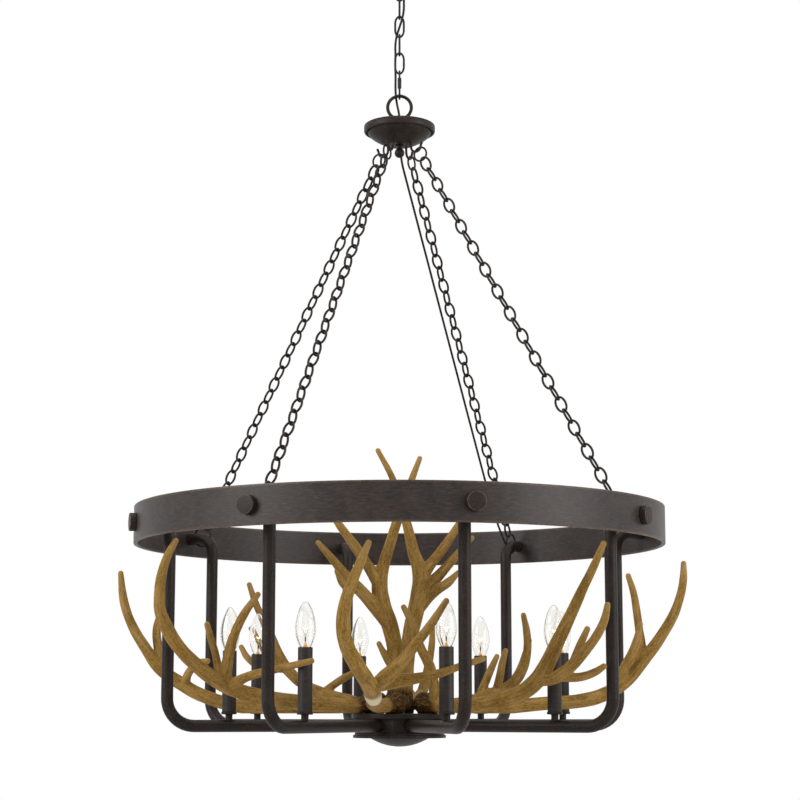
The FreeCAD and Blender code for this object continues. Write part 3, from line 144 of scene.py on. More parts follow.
# ------------------------------------------------------------------ antlers, the part's own limbs
# A limb is a list of (outward, sideways, height above the arms, radius) in mm; the first is the beam.
LYING_ROOT = [(40, 0, 33, 13), (47, 0, 33.5, 14.5), (56, 0, 33, 12)]
ANTLERS = {
    "antler_1": (0.0, [
        [(40, -3, 33, 13), (47, -5, 33.5, 14.5), (60, -12, 33, 12), (84, -27, 31, 11), (150, -37, 34, 12.3),
         (205, -37, 38, 12.3), (270, -38, 46, 12.3), (330, -46, 65, 11.8), (370, -60, 88, 11.3),
         (395, -73, 114, 10.8), (407, -77, 141, 10.3), (409, -74, 169, 9.1), (407, -65, 198, 8.1),
         (398, -54, 226, 6.6), (385, -43, 254, 4)],
        [(290, -38, 54, 11), (312, -20, 70, 11.4), (322, 2, 90, 9.4), (328, 20, 112, 7.9),
         (332, 42, 140, 6.4), (336, 66, 176, 4)],
        [(300, -30, 60, 11), (300, -5, 65, 10.6), (302, 25, 69, 8), (304, 58, 76, 6.3),
         (308, 90, 87, 4.9), (309, 118, 96, 4)],
    ]),
    "antler_2": (50.0, [
        LYING_ROOT + [(80, 0, 31, 11), (150, 0, 32, 11.8),
         (216, 0, 43, 11.8), (258, 0, 61, 12.8), (280, 0, 84, 12.3), (305, 0, 124, 10.8), (328, 0, 161, 9.1),
         (350, 0, 198, 7.6), (371, 0, 232, 6.1), (389, 0, 264, 4)],
        [(276, 0, 68, 9.8), (297, -3, 70, 9.9), (318, -6, 78, 9.4), (338, -9, 90, 8.9), (361, -11, 109, 7.9),
         (382, -12, 130, 6.9), (396, -12, 152, 5.9), (402, -12, 174, 4)],
        [(308, -4, 72, 7.8), (338, 8, 72, 6.4), (362, 13, 79, 5.4), (376, 15, 87, 4)],
        [(338, -8, 92, 6.8), (348, -4, 118, 5.9), (358, 0, 141, 4)],
        [(74, 0, 33, 9.8), (71, -11, 88, 8.4), (61, -21, 118, 7.4), (49, -29, 158, 5.9), (37, -34, 182, 4)],
    ]),
    "antler_3": (95.0, [
        LYING_ROOT + [(80, 0, 31, 11), (150, 0, 28, 11.3),
         (227, 0, 34, 10.8), (292, 0, 39, 11.3), (325, 0, 48, 11.3), (359, 0, 68, 10.8), (390, 0, 103, 10.3),
         (419, 0, 140, 9.1), (439, 0, 173, 8.1), (451.6, 0, 204, 7.1), (457.2, 0, 232, 6.1), (458.2, 0, 256.4,
                                                                                              4)],
        [(378, 0, 88, 8.8), (389, 12, 125, 7.4), (387, 17, 152, 6.9), (384, 18, 182, 6.4),
         (379, 18, 212, 5.4),
         (371, 16, 237, 4)],
        [(335, 0, 54, 8.8), (358, -16, 94, 7.9), (374, -24, 130, 6.9), (380, -26, 158, 4)],
    ]),
    "antler_4": (130.0, [
        LYING_ROOT + [(80, 0, 31, 10.5), (140, 0, 36, 10.8),
         (200, 0, 50, 10.3), (248, 0, 70, 9.1), (268, 0, 92, 8.1), (278, 0, 122, 7.1), (277, 0, 152, 6.1),
         (270, 0, 180, 4)],
        [(248, 0, 72, 7.8), (272, 10, 92, 6.9), (290, 17, 116, 5.9), (302, 20, 139, 4)],
        [(208, 0, 54, 7.8), (208, -7, 76, 6.9), (212, -9, 98, 5.9), (219, -10, 120, 4)],
        [(170, 0, 44, 7.8), (198, 16, 70, 6.9), (224, 30, 92, 5.9), (244, 38, 112, 4)],
    ]),
    "antler_5": (172.0, [
        LYING_ROOT + [(80, 0, 31, 10.5), (150, 0, 34, 11.3),
         (230, 0, 44, 10.8), (300, 0, 62, 9.1), (350, 0, 92, 7.6), (376, 0, 124, 4)],
        [(256, 0, 50, 7.8), (282, -9, 92, 6.9), (298, -14, 132, 5.9), (303, -15, 165, 4)],
        [(190, 0, 40, 6.8), (222, 18, 64, 6.4), (250, 26, 92, 4)],
    ]),
    "antler_6": (-140.0, [
        LYING_ROOT + [(80, 0, 31, 10.5), (125, 0, 38, 10.8),
         (204, 0, 52, 10.3), (259, 0, 70, 9.1), (304, 0, 95, 8.1), (366, 0, 132, 6.6), (401, 0, 163, 4)],
        [(268, 0, 76, 8.3), (288, 6, 96, 7.9), (306, 10, 120, 7.4), (328, 13, 154, 6.9), (368, 14, 204, 5.9),
         (388, 14, 238, 4)],
        [(300, 0, 92, 6.8), (334, 26, 96, 6.4), (360, 36, 112, 5.4), (376, 38, 130, 4)],
        [(196, 0, 52, 6.8), (162, -14, 74, 6.4), (130, -22, 88, 4)],
    ]),
    "antler_7": (-95.0, [
        LYING_ROOT + [(80, 0, 31, 11), (150, 0, 25, 11.3),
         (246, 0, 29, 10.8), (311, 0, 46, 10.8), (354, 0, 69, 10.8), (382, 0, 89, 10.3), (404, 0, 118, 9.1),
         (426, 0, 152, 8.1), (437.7, 0, 178, 7.6), (444.5, 0, 204, 6.6), (449.1, 0, 240.5, 4)],
        [(378, 0, 86, 8.3), (388, -14, 120, 7.9), (393, -20, 150, 6.9), (388, -22, 174, 5.9),
         (379, -22, 198, 4)],
        [(342, 0, 62, 7.8), (333, 14, 82, 6.4), (316, 24, 97, 5.4), (300, 30, 100, 4)],
    ]),
    "antler_8": (-60.0, [
        LYING_ROOT + [(80, 0, 31, 11.5), (150, 0, 34, 12.3),
         (217, 0, 40, 11.8), (284, 0, 54, 11.8), (316, 0, 68, 11.3), (347, 0, 89, 10.8), (376, 0, 115, 10.3),
         (395, 0, 142, 10.3), (407, 0, 167, 9.1), (409, 0, 192, 8.6), (407, 0, 219, 7.6), (398, 0, 249, 6.1),
         (385, 0, 273, 4)],
        [(302, 0, 62, 9.8), (302, 8, 90, 8.9), (299, 12, 115, 8.4), (293, 15, 137, 7.4), (280, 18, 165, 6.4),
         (258, 20, 196, 4)],
        [(294, 0, 60, 8.8), (285, 40, 72, 7.4), (272, 84, 80, 6.4), (257, 126, 87, 5.4), (242, 166, 94, 4)],
        [(310, 0, 68, 6.8), (312, -12, 108, 5.9), (317, -16, 128, 5.4), (324, -17, 151, 4)],
    ]),
    "antler_9": (90.0, [
        [(-8, -22, 18.5, 13.5), (-8, -22, 36, 12.5), (-7, -22, 62, 12), (-6, -22, 95, 11.5),
         (-8, -26, 125, 12.8),
         (-16, -30, 157, 13.3), (-27, -34, 189, 13.3), (-31, -36, 220, 12.8), (-25, -37, 248, 9.8),
         (-14, -38, 284, 8.5), (-4, -38, 316, 8), (19, -36, 382, 5.5), (32, -34, 417, 3.6)],
        [(-31, -36, 216, 10.5), (-48, -44, 244, 9), (-68, -52, 274, 8), (-93, -60, 308, 6),
         (-106, -64, 326, 3.6)],
        [(-10, -28, 146, 10.5), (-45, -46, 190, 10.5), (-63, -54, 210, 9.5), (-84, -62, 232, 8),
         (-104, -70, 255, 6), (-126, -78, 280, 3.6)],
        [(-62, -52, 208, 7.5), (-86, -62, 216, 6), (-97, -68, 236, 3.6)],
        [(-8, -24, 84, 6.5), (-20, -32, 103, 5.5), (-32, -36, 126, 3.6)],
    ]),
    "antler_10": (90.0, [
        [(8, 22, 18.5, 13.5), (8, 22, 36, 12.5), (10, 24, 62, 12), (12, 26, 95, 11.5), (16, 31, 135, 12.8),
         (25, 37, 176, 13.8), (32, 40, 209, 14.3), (33, 41, 242, 12.8), (22, 41, 276, 9.8), (13, 41, 317, 8),
         (-11, 42, 393, 5.5), (-35, 44, 440, 3.6)],
        [(34, 42, 236, 10.5), (52, 50, 258, 9), (72, 58, 284, 8), (90, 66, 312, 6), (102, 70, 334, 3.6)],
        [(34, 41, 204, 10.5), (62, 54, 236, 9), (88, 62, 266, 7), (118, 70, 300, 3.6)],
        [(28, 38, 180, 9.5), (58, 38, 212, 8), (78, 42, 226, 7), (94, 44, 242, 3.6)],
    ]),
}

# where the front antler's lowest bend swells and is painted pale as a highlight, in its own (outward,
# sideways, height)
HIGHLIGHT_BEND = {"antler_1": (272.0, -38.0, 32.0)}
# level of the hub plate's top face, which the antlers' roots rest on
ANTLER_SEAT = 18.6
# how near two limbs of an antler are, in metres, where the web between them starts
WEB_REACH = 7.5 * MM
# what a limb's tip gains in radius, in metres, and over what length
TIP_GAIN = 0.7 * MM
TIP_LONG = 70 * MM
# the flat cut at a beam's root, and the farthest that merging moves a corner at once
ROOT_CUT = 0.5 * MM
LARGEST_STEP = 2.5 * MM
# how far the looks of the tip and of the bend's painted highlight reach
TIP_ZONE = 60 * MM
HIGHLIGHT_KNOB_ZONE = 26 * MM
# where the burr ends and over what length it fades, and where its coronet swells and how wide
BURR_END = 42 * MM
BURR_FADE = 16 * MM
CORONET_AT = 11 * MM
CORONET_WIDE = 9 * MM
# how often the relief's four patterns repeat in a metre, across a limb and along it
FURROW_ACROSS, FURROW_ALONG = 330, 34
SWELL_ACROSS, SWELL_ALONG = 80, 36
LUMP_EACH_WAY = 230
FIBRE_ACROSS, FIBRE_ALONG = 480, 120
# how many corners are measured against a limb at once
PLACES_AT_ONCE = 20000

# ------------------------------------------------------------------ cords, the part's own routes
MAIN_CORD_ROUTE = [
    (0.0, 0.0, -30.0), (0.2, 0.0, -42.0), (3.6, -2.4, -55.0), (7.6, -5.4, -70.0), (8.2, -6.4, -88.0),
    (7.2, -6.2, -106.0), (7.4, -6.0, -122.0), (5.0, -4.0, -136.0), (0.2, 0.0, -150.0),
    (-4.8, 4.0, -164.0), (-7.2, 6.0, -179.0), (-6.6, 6.6, -197.0), (-7.2, 6.0, -215.0),
    (-6.4, 6.4, -233.0), (-6.8, 6.6, -251.0), (-6.2, 6.8, -267.0), (-4.2, 4.6, -282.0),
    (-1.0, 1.2, -297.0), (0.0, 0.0, -310.0), (0.1, 0.0, -320.0),
]
FEED_CORD_AZIMUTH = 149.5
FEED_CORD_ROUTE = [
    (24.0, 12.0, 947.0), (24.6, 12.2, 935.0), (30.0, 13.0, 917.0), (44.0, 13.0, 893.0),
    (330.0, 13.0, 392.0), (346.0, 11.0, 362.0), (353.0, 6.0, 338.0), (360.0, 1.5, 321.0),
    (368.5, 0.0, 307.0),
]

# ------------------------------------------------------------------ camera, fitted to the photograph
CAMERA_PLACE = (0.0008, -3.0815, -1.26525)
CAMERA_PITCH = 9.016
CAMERA_LENS = 87.35
SENSOR_WIDTH = 36.0

# ------------------------------------------------------------------ light, in metres and watts
# name, place, size and power of each soft lamp
SOFT_LAMPS = (
    ("key", (-2.9, -1.7, 0.1), 1.8, 66.0),
    ("fill", (3.0, -1.5, -0.3), 1.8, 56.0),
    ("top", (0.2, -0.6, 1.6), 2.0, 26.0),
)
LAMPS_AIM = Vector((0, 0, -1.0))
SURROUND_LIGHT = 0.4
SURROUND_SEEN = 1.0
# the share of plain paleness in the floor as it is looked at
FLOOR_PALE = 0.55
FLOOR_HALF = 5.0


def linear(hex_colour):
    """The linear RGB of a colour written as sRGB hex."""
    parts = [int(hex_colour[index:index + 2], 16) / 255 for index in (1, 3, 5)]
    return tuple(part / 12.92 if part <= 0.04045 else ((part + 0.055) / 1.055) ** 2.4 for part in parts)


def colour_property(name, hex_colour, description):
    """A colour the user may change, with its default written as sRGB hex."""
    return bpy.props.FloatVectorProperty(name=name, description=description, subtype="COLOR", size=3,
                                         min=0.0, max=1.0, default=linear(hex_colour))


def length_property(name, default, description):
    """A length the user may change, in metres."""
    return bpy.props.FloatProperty(name=name, description=description, unit="LENGTH", min=0.0,
                                   precision=5, default=default)


class ChandelierSizes(bpy.types.PropertyGroup):
    """Sizes of the dressing that a user would change."""

    antler_voxel: length_property("Antler voxel", 1.6 * MM, "Grid that the antlers' limbs are merged on")
    edge_round: length_property("Edge round", 0.6 * MM, "Rounding of the metal's edges")
    cord_radius: length_property("Cord radius", CORD_RAD * MM, "Radius of both cords")
    floor_level: length_property("Floor drop", 2.1, "How far the floor lies below the ceiling")


class ChandelierColours(bpy.types.PropertyGroup):
    """Colours of the dressing that a user would change."""

    bronze_dark: colour_property("Bronze, dark", "#14100e", "Ground colour of the rods, hub and chains")
    bronze_mid: colour_property("Bronze, mid", "#261e1a", "Mottling of the rods, hub and chains")
    band_dark: colour_property("Band, dark", "#1c1614", "Ground colour of the hoop and the candle sleeves")
    band_mid: colour_property("Band, mid", "#302723", "Mottling of the hoop and the candle sleeves")
    bronze_worn: colour_property("Bronze, worn", "#4c3d35", "Fine rubbing over the bronze")
    bronze_rust: colour_property("Bronze, rust", "#593a29", "Rusty flecks of the bronze")
    # pale brown of marked edges: partly rubbed wear, partly a painted highlight
    bronze_edge_wear_and_highlight: colour_property("Bronze, edge", "#75614f", "Edges rubbed back to a pale brown")
    antler_dark: colour_property("Antler, dark", "#4c3413", "Stain in the antlers' grain")
    antler_mid: colour_property("Antler, mid", "#9a7738", "Body colour of the antlers")
    # pale of tips, and of ridges, where it is partly a painted highlight
    antler_light: colour_property("Antler, light", "#b7945c", "Rubbed ridges and tips of the antlers")
    # the bend's pale spot, a painted highlight
    antler_painted_highlight: colour_property("Antler, bare", "#d6c9aa", "Bend that is rubbed bare of stain")
    burr_dark: colour_property("Burr, dark", "#2b1b0d", "Hollows of the fibrous burr at an antler's root")
    burr_gold: colour_property("Burr, gold", "#74552a", "Fibres of the burr")
    filament: colour_property("Filament", "#ffd9a0", "Glow of the lamps' filaments")
    # also the colour of the stem's painted glow
    stem_amber_and_glow: colour_property("Stem, amber", "#dba566", "Glass foot inside a lamp")


# ------------------------------------------------------------------ working in Blender
def deselect_all():
    """Leave edit mode and drop the selection."""
    if bpy.context.object and bpy.context.object.mode != "OBJECT":
        bpy.ops.object.mode_set(mode="OBJECT")
    bpy.ops.object.select_all(action="DESELECT")


def take(obj):
    """Make one object the only selected and the active one."""
    deselect_all()
    obj.select_set(True)
    bpy.context.view_layer.objects.active = obj


def open_mesh(obj):
    """Enter edit mode on an object with everything selected."""
    take(obj)
    bpy.ops.object.mode_set(mode="EDIT")
    bpy.ops.mesh.select_all(action="SELECT")


def close_mesh():
    """Merge doubled corners, turn the faces outwards and leave edit mode."""
    bpy.ops.mesh.select_all(action="SELECT")
    bpy.ops.mesh.remove_doubles(threshold=0.00001)
    bpy.ops.mesh.normals_make_consistent(inside=False)
    bpy.ops.object.mode_set(mode="OBJECT")


def new_object(name, vertices, edges, faces):
    """A mesh object from plain corners."""
    mesh = bpy.data.meshes.new(name)
    mesh.from_pydata(vertices, edges, faces)
    obj = bpy.data.objects.new(name, mesh)
    bpy.context.collection.objects.link(obj)
    return obj


def apply_modifier(obj, kind, **settings):
    """Add a modifier with its settings and apply it."""
    take(obj)
    modifier = obj.modifiers.new(kind.title(), kind)
    for key, value in settings.items():
        setattr(modifier, key, value)
    bpy.ops.object.modifier_apply(modifier=modifier.name)


def smooth(obj, angle=35.0):
    """Shade an object smooth across edges under an angle."""
    take(obj)
    bpy.ops.object.shade_smooth_by_angle(angle=math.radians(angle))


def round_edges(obj, width, segments=2, angle=35.0):
    """Round the sharp edges, then shade smooth."""
    apply_modifier(obj, "BEVEL", width=width, segments=segments, limit_method="ANGLE",
                   angle_limit=math.radians(angle))
    smooth(obj, 40.0)


def turned(name, profile, steps=96, closed=False):
    """Spin an outline of (radius, height) corners in mm round the upright axis."""
    vertices = [(radius * MM, 0.0, height * MM) for radius, height in profile]
    edges = [(index, index + 1) for index in range(len(profile) - 1)]
    if closed:
        edges.append((len(profile) - 1, 0))
    obj = new_object(name, vertices, edges, [])
    open_mesh(obj)
    bpy.ops.mesh.spin(steps=steps, angle=2 * math.pi, center=(0, 0, 0), axis=(0, 0, 1))
    close_mesh()
    return obj


def shaped_profile(points, per_span=5):
    """A smooth outline through (radius, height) corners."""
    spots = [Vector((radius, height, 0)) for radius, height in points]
    ends = [spots[0] * 2 - spots[1]] + spots + [spots[-1] * 2 - spots[-2]]
    outline = []
    for index in range(1, len(ends) - 2):
        before, here, there, after = ends[index - 1:index + 3]
        handle_out = here + (there - before) / 6
        handle_in = there - (after - here) / 6
        outline += geometry.interpolate_bezier(here, handle_out, handle_in, there, per_span + 1)[:-1]
    outline.append(spots[-1])
    return [(max(spot.x, 0.0), spot.y) for spot in outline]


def azimuth_matrix(azimuth):
    """The turn that takes +X to an azimuth counted from -Y towards +X."""
    return Matrix.Rotation(math.radians(azimuth - 90.0), 4, "Z")


def lift(height_mm, level=None):
    """A move up to a height above the arms' level, or above another level."""
    return Matrix.Translation((0, 0, (ARM_LEVEL if level is None else level) + height_mm * MM))


def copy_of(obj, name, matrix):
    """A copy with its own mesh, moved by a matrix that goes into the mesh."""
    copy = bpy.data.objects.new(name, obj.data.copy())
    bpy.context.collection.objects.link(copy)
    copy.data.transform(matrix)
    return copy


def place(obj, matrix):
    """Move an object's own mesh, so that the object stays at the origin."""
    obj.data.transform(matrix)
    obj.data.update()
    return obj


def joined(name, parts):
    """Join objects into one of that name."""
    deselect_all()
    for part in parts:
        part.select_set(True)
    bpy.context.view_layer.objects.active = parts[0]
    bpy.ops.object.join()
    parts[0].name = name
    parts[0].data.name = name
    return parts[0]


def remove(obj):
    """Delete a working object."""
    mesh = obj.data
    bpy.data.objects.remove(obj)
    bpy.data.meshes.remove(mesh)


def dress(obj, material, slot, body, *replaced):
    """Give a finished piece its finish, its body and the solids it stands for; its slot is not used."""
    obj.data.materials.clear()
    obj.data.materials.append(material)
    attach(obj, body)
    if replaced:
        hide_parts(*replaced)
    return obj


def tube(name, spots, radius, sides=4, radii=None, smooth_run=True):
    """A round rod through spots in metres, as a curve with closed ends."""
    curve = bpy.data.curves.new(name, "CURVE")
    curve.dimensions = "3D"
    curve.bevel_depth = radius
    curve.bevel_resolution = sides
    curve.use_fill_caps = True
    curve.resolution_u = 8
    spline = curve.splines.new("BEZIER" if smooth_run else "POLY")
    points = spline.bezier_points if smooth_run else spline.points
    points.add(len(spots) - 1)
    for index, (point, spot) in enumerate(zip(points, spots)):
        point.co = spot if smooth_run else (*spot, 1.0)
        point.radius = radii[index] if radii else 1.0
        if smooth_run:
            point.handle_left_type = "AUTO"
            point.handle_right_type = "AUTO"
    obj = bpy.data.objects.new(name, curve)
    bpy.context.collection.objects.link(obj)
    return obj


def as_mesh(obj):
    """Turn a curve object into a mesh object with merged, outward faces."""
    take(obj)
    bpy.ops.object.convert(target="MESH")
    open_mesh(obj)
    close_mesh()
    return obj


# ------------------------------------------------------------------ materials
def add_node(tree, kind, settings=None, links=None):
    """Add a node: settings go to its inputs or attributes, and links join (node, output) to its inputs."""
    node = tree.nodes.new(kind)
    for key, value in (settings or {}).items():
        if isinstance(key, int) or key in node.inputs:
            node.inputs[key].default_value = value
        else:
            setattr(node, key, value)
    for key, (source, output) in (links or {}).items():
        tree.links.new(source.outputs[output], node.inputs[key])
    return node


def per_mm(size_mm):
    """A texture scale whose pattern repeats about every size_mm on a model in metres."""
    return 1.0 / (size_mm * MM)


def rgba(colour):
    """A colour with full alpha."""
    return (colour[0], colour[1], colour[2], 1.0)


def new_material(name):
    """An empty node material with its output."""
    material = bpy.data.materials.new(name)
    material.use_nodes = True
    material.node_tree.nodes.clear()
    return material, material.node_tree


def lay_over(tree, ground, layers):
    """Lay colours over a ground, each from where its pattern passes low, and at most by a share at high."""
    for pattern, low, high, most, colour in layers:
        share = add_node(tree, "ShaderNodeMapRange", {"From Min": low, "From Max": high, "To Max": most},
                         {"Value": (pattern, "Fac")})
        ground = add_node(tree, "ShaderNodeMix", {"data_type": "RGBA", 7: rgba(colour)},
                          {0: (share, "Result"), 6: (ground, 2)})
    return ground


def bronze_paint(name, stretch, ground_dark, ground_mid, sheen):
    """Bronze paint of two ground colours and a sheen, with its grit drawn out by a stretch, and a rusty pale
    brown where the edge mark says: partly rubbed wear, partly a painted highlight along the edges."""
    colours = bpy.context.scene.chandelier_colours
    material, tree = new_material(name)
    where = add_node(tree, "ShaderNodeTexCoord")
    edge_wear_and_highlight = add_node(tree, "ShaderNodeAttribute", {"attribute_name": "edge_wear_and_highlight"})
    drawn = add_node(tree, "ShaderNodeMapping", {"Scale": stretch}, {"Vector": (where, "Object")})
    cloud = add_node(tree, "ShaderNodeTexNoise", {"Scale": per_mm(28), "Detail": 6.0, "Roughness": 0.62},
                     {"Vector": (where, "Object")})
    # the paint's grit is finer than a picture shows, so it is drawn at 1.8 mm
    grit = add_node(tree, "ShaderNodeTexNoise", {"Scale": per_mm(1.8), "Detail": 4.0, "Roughness": 0.7},
                    {"Vector": (drawn, "Vector")})
    fleck = add_node(tree, "ShaderNodeTexNoise", {"Scale": per_mm(6), "Detail": 5.0, "Roughness": 0.7},
                     {"Vector": (where, "Object")})
    cloud_share = add_node(tree, "ShaderNodeMapRange", {"From Min": 0.36, "From Max": 0.66},
                           {"Value": (cloud, "Fac")})
    ground = add_node(tree, "ShaderNodeMix", {"data_type": "RGBA", 6: rgba(ground_dark), 7: rgba(ground_mid)},
                      {0: (cloud_share, "Result")})
    flecked = lay_over(tree, ground, (
        (grit, 0.46, 0.72, 0.6, colours.bronze_worn),
        (fleck, 0.62, 0.76, 0.45, colours.bronze_rust),
    ))
    # pale edges where marked: partly rubbed wear, partly a painted highlight
    edge_share = add_node(tree, "ShaderNodeMapRange", {"From Min": 0.3, "From Max": 0.62, "To Max": 0.7},
                          {"Value": (fleck, "Fac")})
    edge_wear_and_highlight_share = add_node(tree, "ShaderNodeMath", {"operation": "MULTIPLY"},
                         {0: (edge_share, "Result"), 1: (edge_wear_and_highlight, "Fac")})
    painted = add_node(tree, "ShaderNodeMix", {"data_type": "RGBA", 7: rgba(colours.bronze_edge_wear_and_highlight)},
                       {0: (edge_wear_and_highlight_share, "Value"), 6: (flecked, 2)})
    gloss = add_node(tree, "ShaderNodeMapRange", {"To Min": 0.34, "To Max": 0.56}, {"Value": (cloud, "Fac")})
    bump = add_node(tree, "ShaderNodeBump", {"Strength": 0.3, "Distance": 0.25 * MM},
                    {"Height": (grit, "Fac")})
    shader = add_node(tree, "ShaderNodeBsdfPrincipled", {"Metallic": 0.1, "Specular IOR Level": sheen},
                      {"Base Color": (painted, 2), "Roughness": (gloss, "Result"),
                       "Normal": (bump, "Normal")})
    add_node(tree, "ShaderNodeOutputMaterial", {}, {"Surface": (shader, "BSDF")})
    return material


def hand_rubbed_bronze():
    """Steel under hand-rubbed bronze paint: a nearly black satin ground with soft brown rubbing."""
    colours = bpy.context.scene.chandelier_colours
    return bronze_paint("hand_rubbed_bronze", (1.0, 1.0, 1.0), colours.bronze_dark, colours.bronze_mid,
                        sheen=0.19)


def brushed_bronze():
    """A browner coat brushed round the hoop: short level streaks, and edges rubbed to a rusty brown that is
    partly a painted highlight.
    """
    colours = bpy.context.scene.chandelier_colours
    return bronze_paint("brushed_bronze", (0.16, 0.16, 0.8), colours.band_dark, colours.band_mid, sheen=0.34)


def candle_sleeve_paint():
    """Painted candle sleeve: the bronze's colour, flatter and more even, with faint bands round it."""
    colours = bpy.context.scene.chandelier_colours
    material, tree = new_material("candle_sleeve_paint")
    where = add_node(tree, "ShaderNodeTexCoord")
    banded = add_node(tree, "ShaderNodeMapping", {"Scale": (0.15, 0.15, 1.0)}, {"Vector": (where, "Object")})
    streak = add_node(tree, "ShaderNodeTexNoise", {"Scale": per_mm(3), "Detail": 4.0},
                      {"Vector": (banded, "Vector")})
    grain = add_node(tree, "ShaderNodeTexNoise", {"Scale": per_mm(1.2), "Detail": 3.0},
                     {"Vector": (where, "Object")})
    share = add_node(tree, "ShaderNodeMapRange", {"From Min": 0.35, "From Max": 0.75},
                     {"Value": (streak, "Fac")})
    colour = add_node(tree, "ShaderNodeMix",
                      {"data_type": "RGBA", 6: rgba(colours.band_dark), 7: rgba(colours.band_mid)},
                      {0: (share, "Result")})
    bump = add_node(tree, "ShaderNodeBump", {"Strength": 0.3, "Distance": 0.12 * MM},
                    {"Height": (grain, "Fac")})
    shader = add_node(tree, "ShaderNodeBsdfPrincipled", {"Roughness": 0.5, "Specular IOR Level": 0.32},
                      {"Base Color": (colour, 2), "Normal": (bump, "Normal")})
    add_node(tree, "ShaderNodeOutputMaterial", {}, {"Surface": (shader, "BSDF")})
    return material


def cast_antler():
    """Cast resin stained like antler: olive tan with fine lengthwise grain and pores, paler on tips, paler on
    ridges (partly rubbing, partly a painted highlight), a painted highlight on one bend, and a dark fibrous
    burr at the root."""
    colours = bpy.context.scene.chandelier_colours
    material, tree = new_material("cast_antler_resin")
    marks = {name: add_node(tree, "ShaderNodeAttribute", {"attribute_name": name})
             for name in ("straight", "tip", "root", "ridge_rub_and_highlight", "highlight_knob")}
    where = add_node(tree, "ShaderNodeTexCoord")
    # the grain's lines are about 1.8 mm wide and run for some 6 mm along a limb
    along = add_node(tree, "ShaderNodeMapping", {"Scale": (1.0, 1.0, 0.3)},
                     {"Vector": (marks["straight"], "Vector")})
    grain = add_node(tree, "ShaderNodeTexNoise", {"Scale": per_mm(1.8), "Detail": 5.0, "Roughness": 0.75},
                     {"Vector": (along, "Vector")})
    pores = add_node(tree, "ShaderNodeTexNoise", {"Scale": per_mm(1.7), "Detail": 3.0, "Roughness": 0.75},
                     {"Vector": (where, "Object")})
    blotch = add_node(tree, "ShaderNodeTexNoise", {"Scale": per_mm(42), "Detail": 5.0, "Roughness": 0.6},
                      {"Vector": (where, "Object")})
    grain_share = add_node(tree, "ShaderNodeMapRange", {"From Min": 0.38, "From Max": 0.55, "To Min": 0.28},
                           {"Value": (grain, "Fac")})
    body = add_node(tree, "ShaderNodeMix",
                    {"data_type": "RGBA", 6: rgba(colours.antler_dark), 7: rgba(colours.antler_mid)},
                    {0: (grain_share, "Result")})
    stained_and_highlit = lay_over(tree, body, (
        (pores, 0.53, 0.64, 0.75, colours.antler_dark),
        # ridges paler: partly rubbing, partly a painted highlight
        (marks["ridge_rub_and_highlight"], 0.35, 0.9, 0.5, colours.antler_light),
        (blotch, 0.5, 0.72, 0.45, colours.antler_dark),
        (marks["tip"], 0.0, 1.0, 0.3, colours.antler_light),
        # the bend's pale spot: a painted highlight
        (marks["highlight_knob"], 0.0, 0.45, 0.95, colours.antler_painted_highlight),
    ))
    # the burr's fibres are about 2.5 mm wide
    fibre = add_node(tree, "ShaderNodeTexNoise", {"Scale": per_mm(2.5), "Detail": 5.0, "Roughness": 0.7},
                     {"Vector": (along, "Vector")})
    fibre_share = add_node(tree, "ShaderNodeMapRange", {"From Min": 0.46, "From Max": 0.66},
                           {"Value": (fibre, "Fac")})
    burr = add_node(tree, "ShaderNodeMix",
                    {"data_type": "RGBA", 6: rgba(colours.burr_dark), 7: rgba(colours.burr_gold)},
                    {0: (fibre_share, "Result")})
    root_share = add_node(tree, "ShaderNodeMapRange", {"From Max": 0.6, "To Max": 0.95},
                          {"Value": (marks["root"], "Fac")})
    rooted = add_node(tree, "ShaderNodeMix", {"data_type": "RGBA"},
                      {0: (root_share, "Result"), 6: (stained_and_highlit, 2), 7: (burr, 2)})
    relief = add_node(tree, "ShaderNodeMath", {"operation": "SUBTRACT"},
                      {0: (grain, "Fac"), 1: (pores, "Fac")})
    bump = add_node(tree, "ShaderNodeBump", {"Strength": 0.4, "Distance": 0.4 * MM},
                    {"Height": (relief, "Value")})
    shader = add_node(tree, "ShaderNodeBsdfPrincipled", {"Roughness": 0.6, "Specular IOR Level": 0.1},
                      {"Base Color": (rooted, 2), "Normal": (bump, "Normal")})
    add_node(tree, "ShaderNodeOutputMaterial", {}, {"Surface": (shader, "BSDF")})
    return material


def lamp_glass():
    """Clear blown glass of a candle lamp: smooth, thin and almost without colour."""
    material, tree = new_material("clear_lamp_glass")
    shader = add_node(tree, "ShaderNodeBsdfPrincipled",
                      {"Base Color": rgba(linear("#fbfaf7")), "Roughness": 0.0, "IOR": 1.47,
                       "Transmission Weight": 1.0})
    add_node(tree, "ShaderNodeOutputMaterial", {}, {"Surface": (shader, "BSDF")})
    return material


def stem_glass():
    """Pressed amber glass foot of a lamp, with a painted glow that stands for the filament's light on it."""
    colours = bpy.context.scene.chandelier_colours
    material, tree = new_material("amber_stem_glass")
    where = add_node(tree, "ShaderNodeTexCoord")
    cloud = add_node(tree, "ShaderNodeTexNoise", {"Scale": per_mm(3), "Detail": 3.0},
                     {"Vector": (where, "Object")})
    gloss = add_node(tree, "ShaderNodeMapRange", {"To Min": 0.15, "To Max": 0.35}, {"Value": (cloud, "Fac")})
    # the emission is a painted glow, for the filament's light on the stem
    shader = add_node(tree, "ShaderNodeBsdfPrincipled",
                      {"Base Color": rgba(colours.stem_amber_and_glow), "IOR": 1.5, "Transmission Weight": 0.35,
                       "Emission Color": rgba(colours.stem_amber_and_glow), "Emission Strength": 0.35},
                      {"Roughness": (gloss, "Result")})
    add_node(tree, "ShaderNodeOutputMaterial", {}, {"Surface": (shader, "BSDF")})
    return material


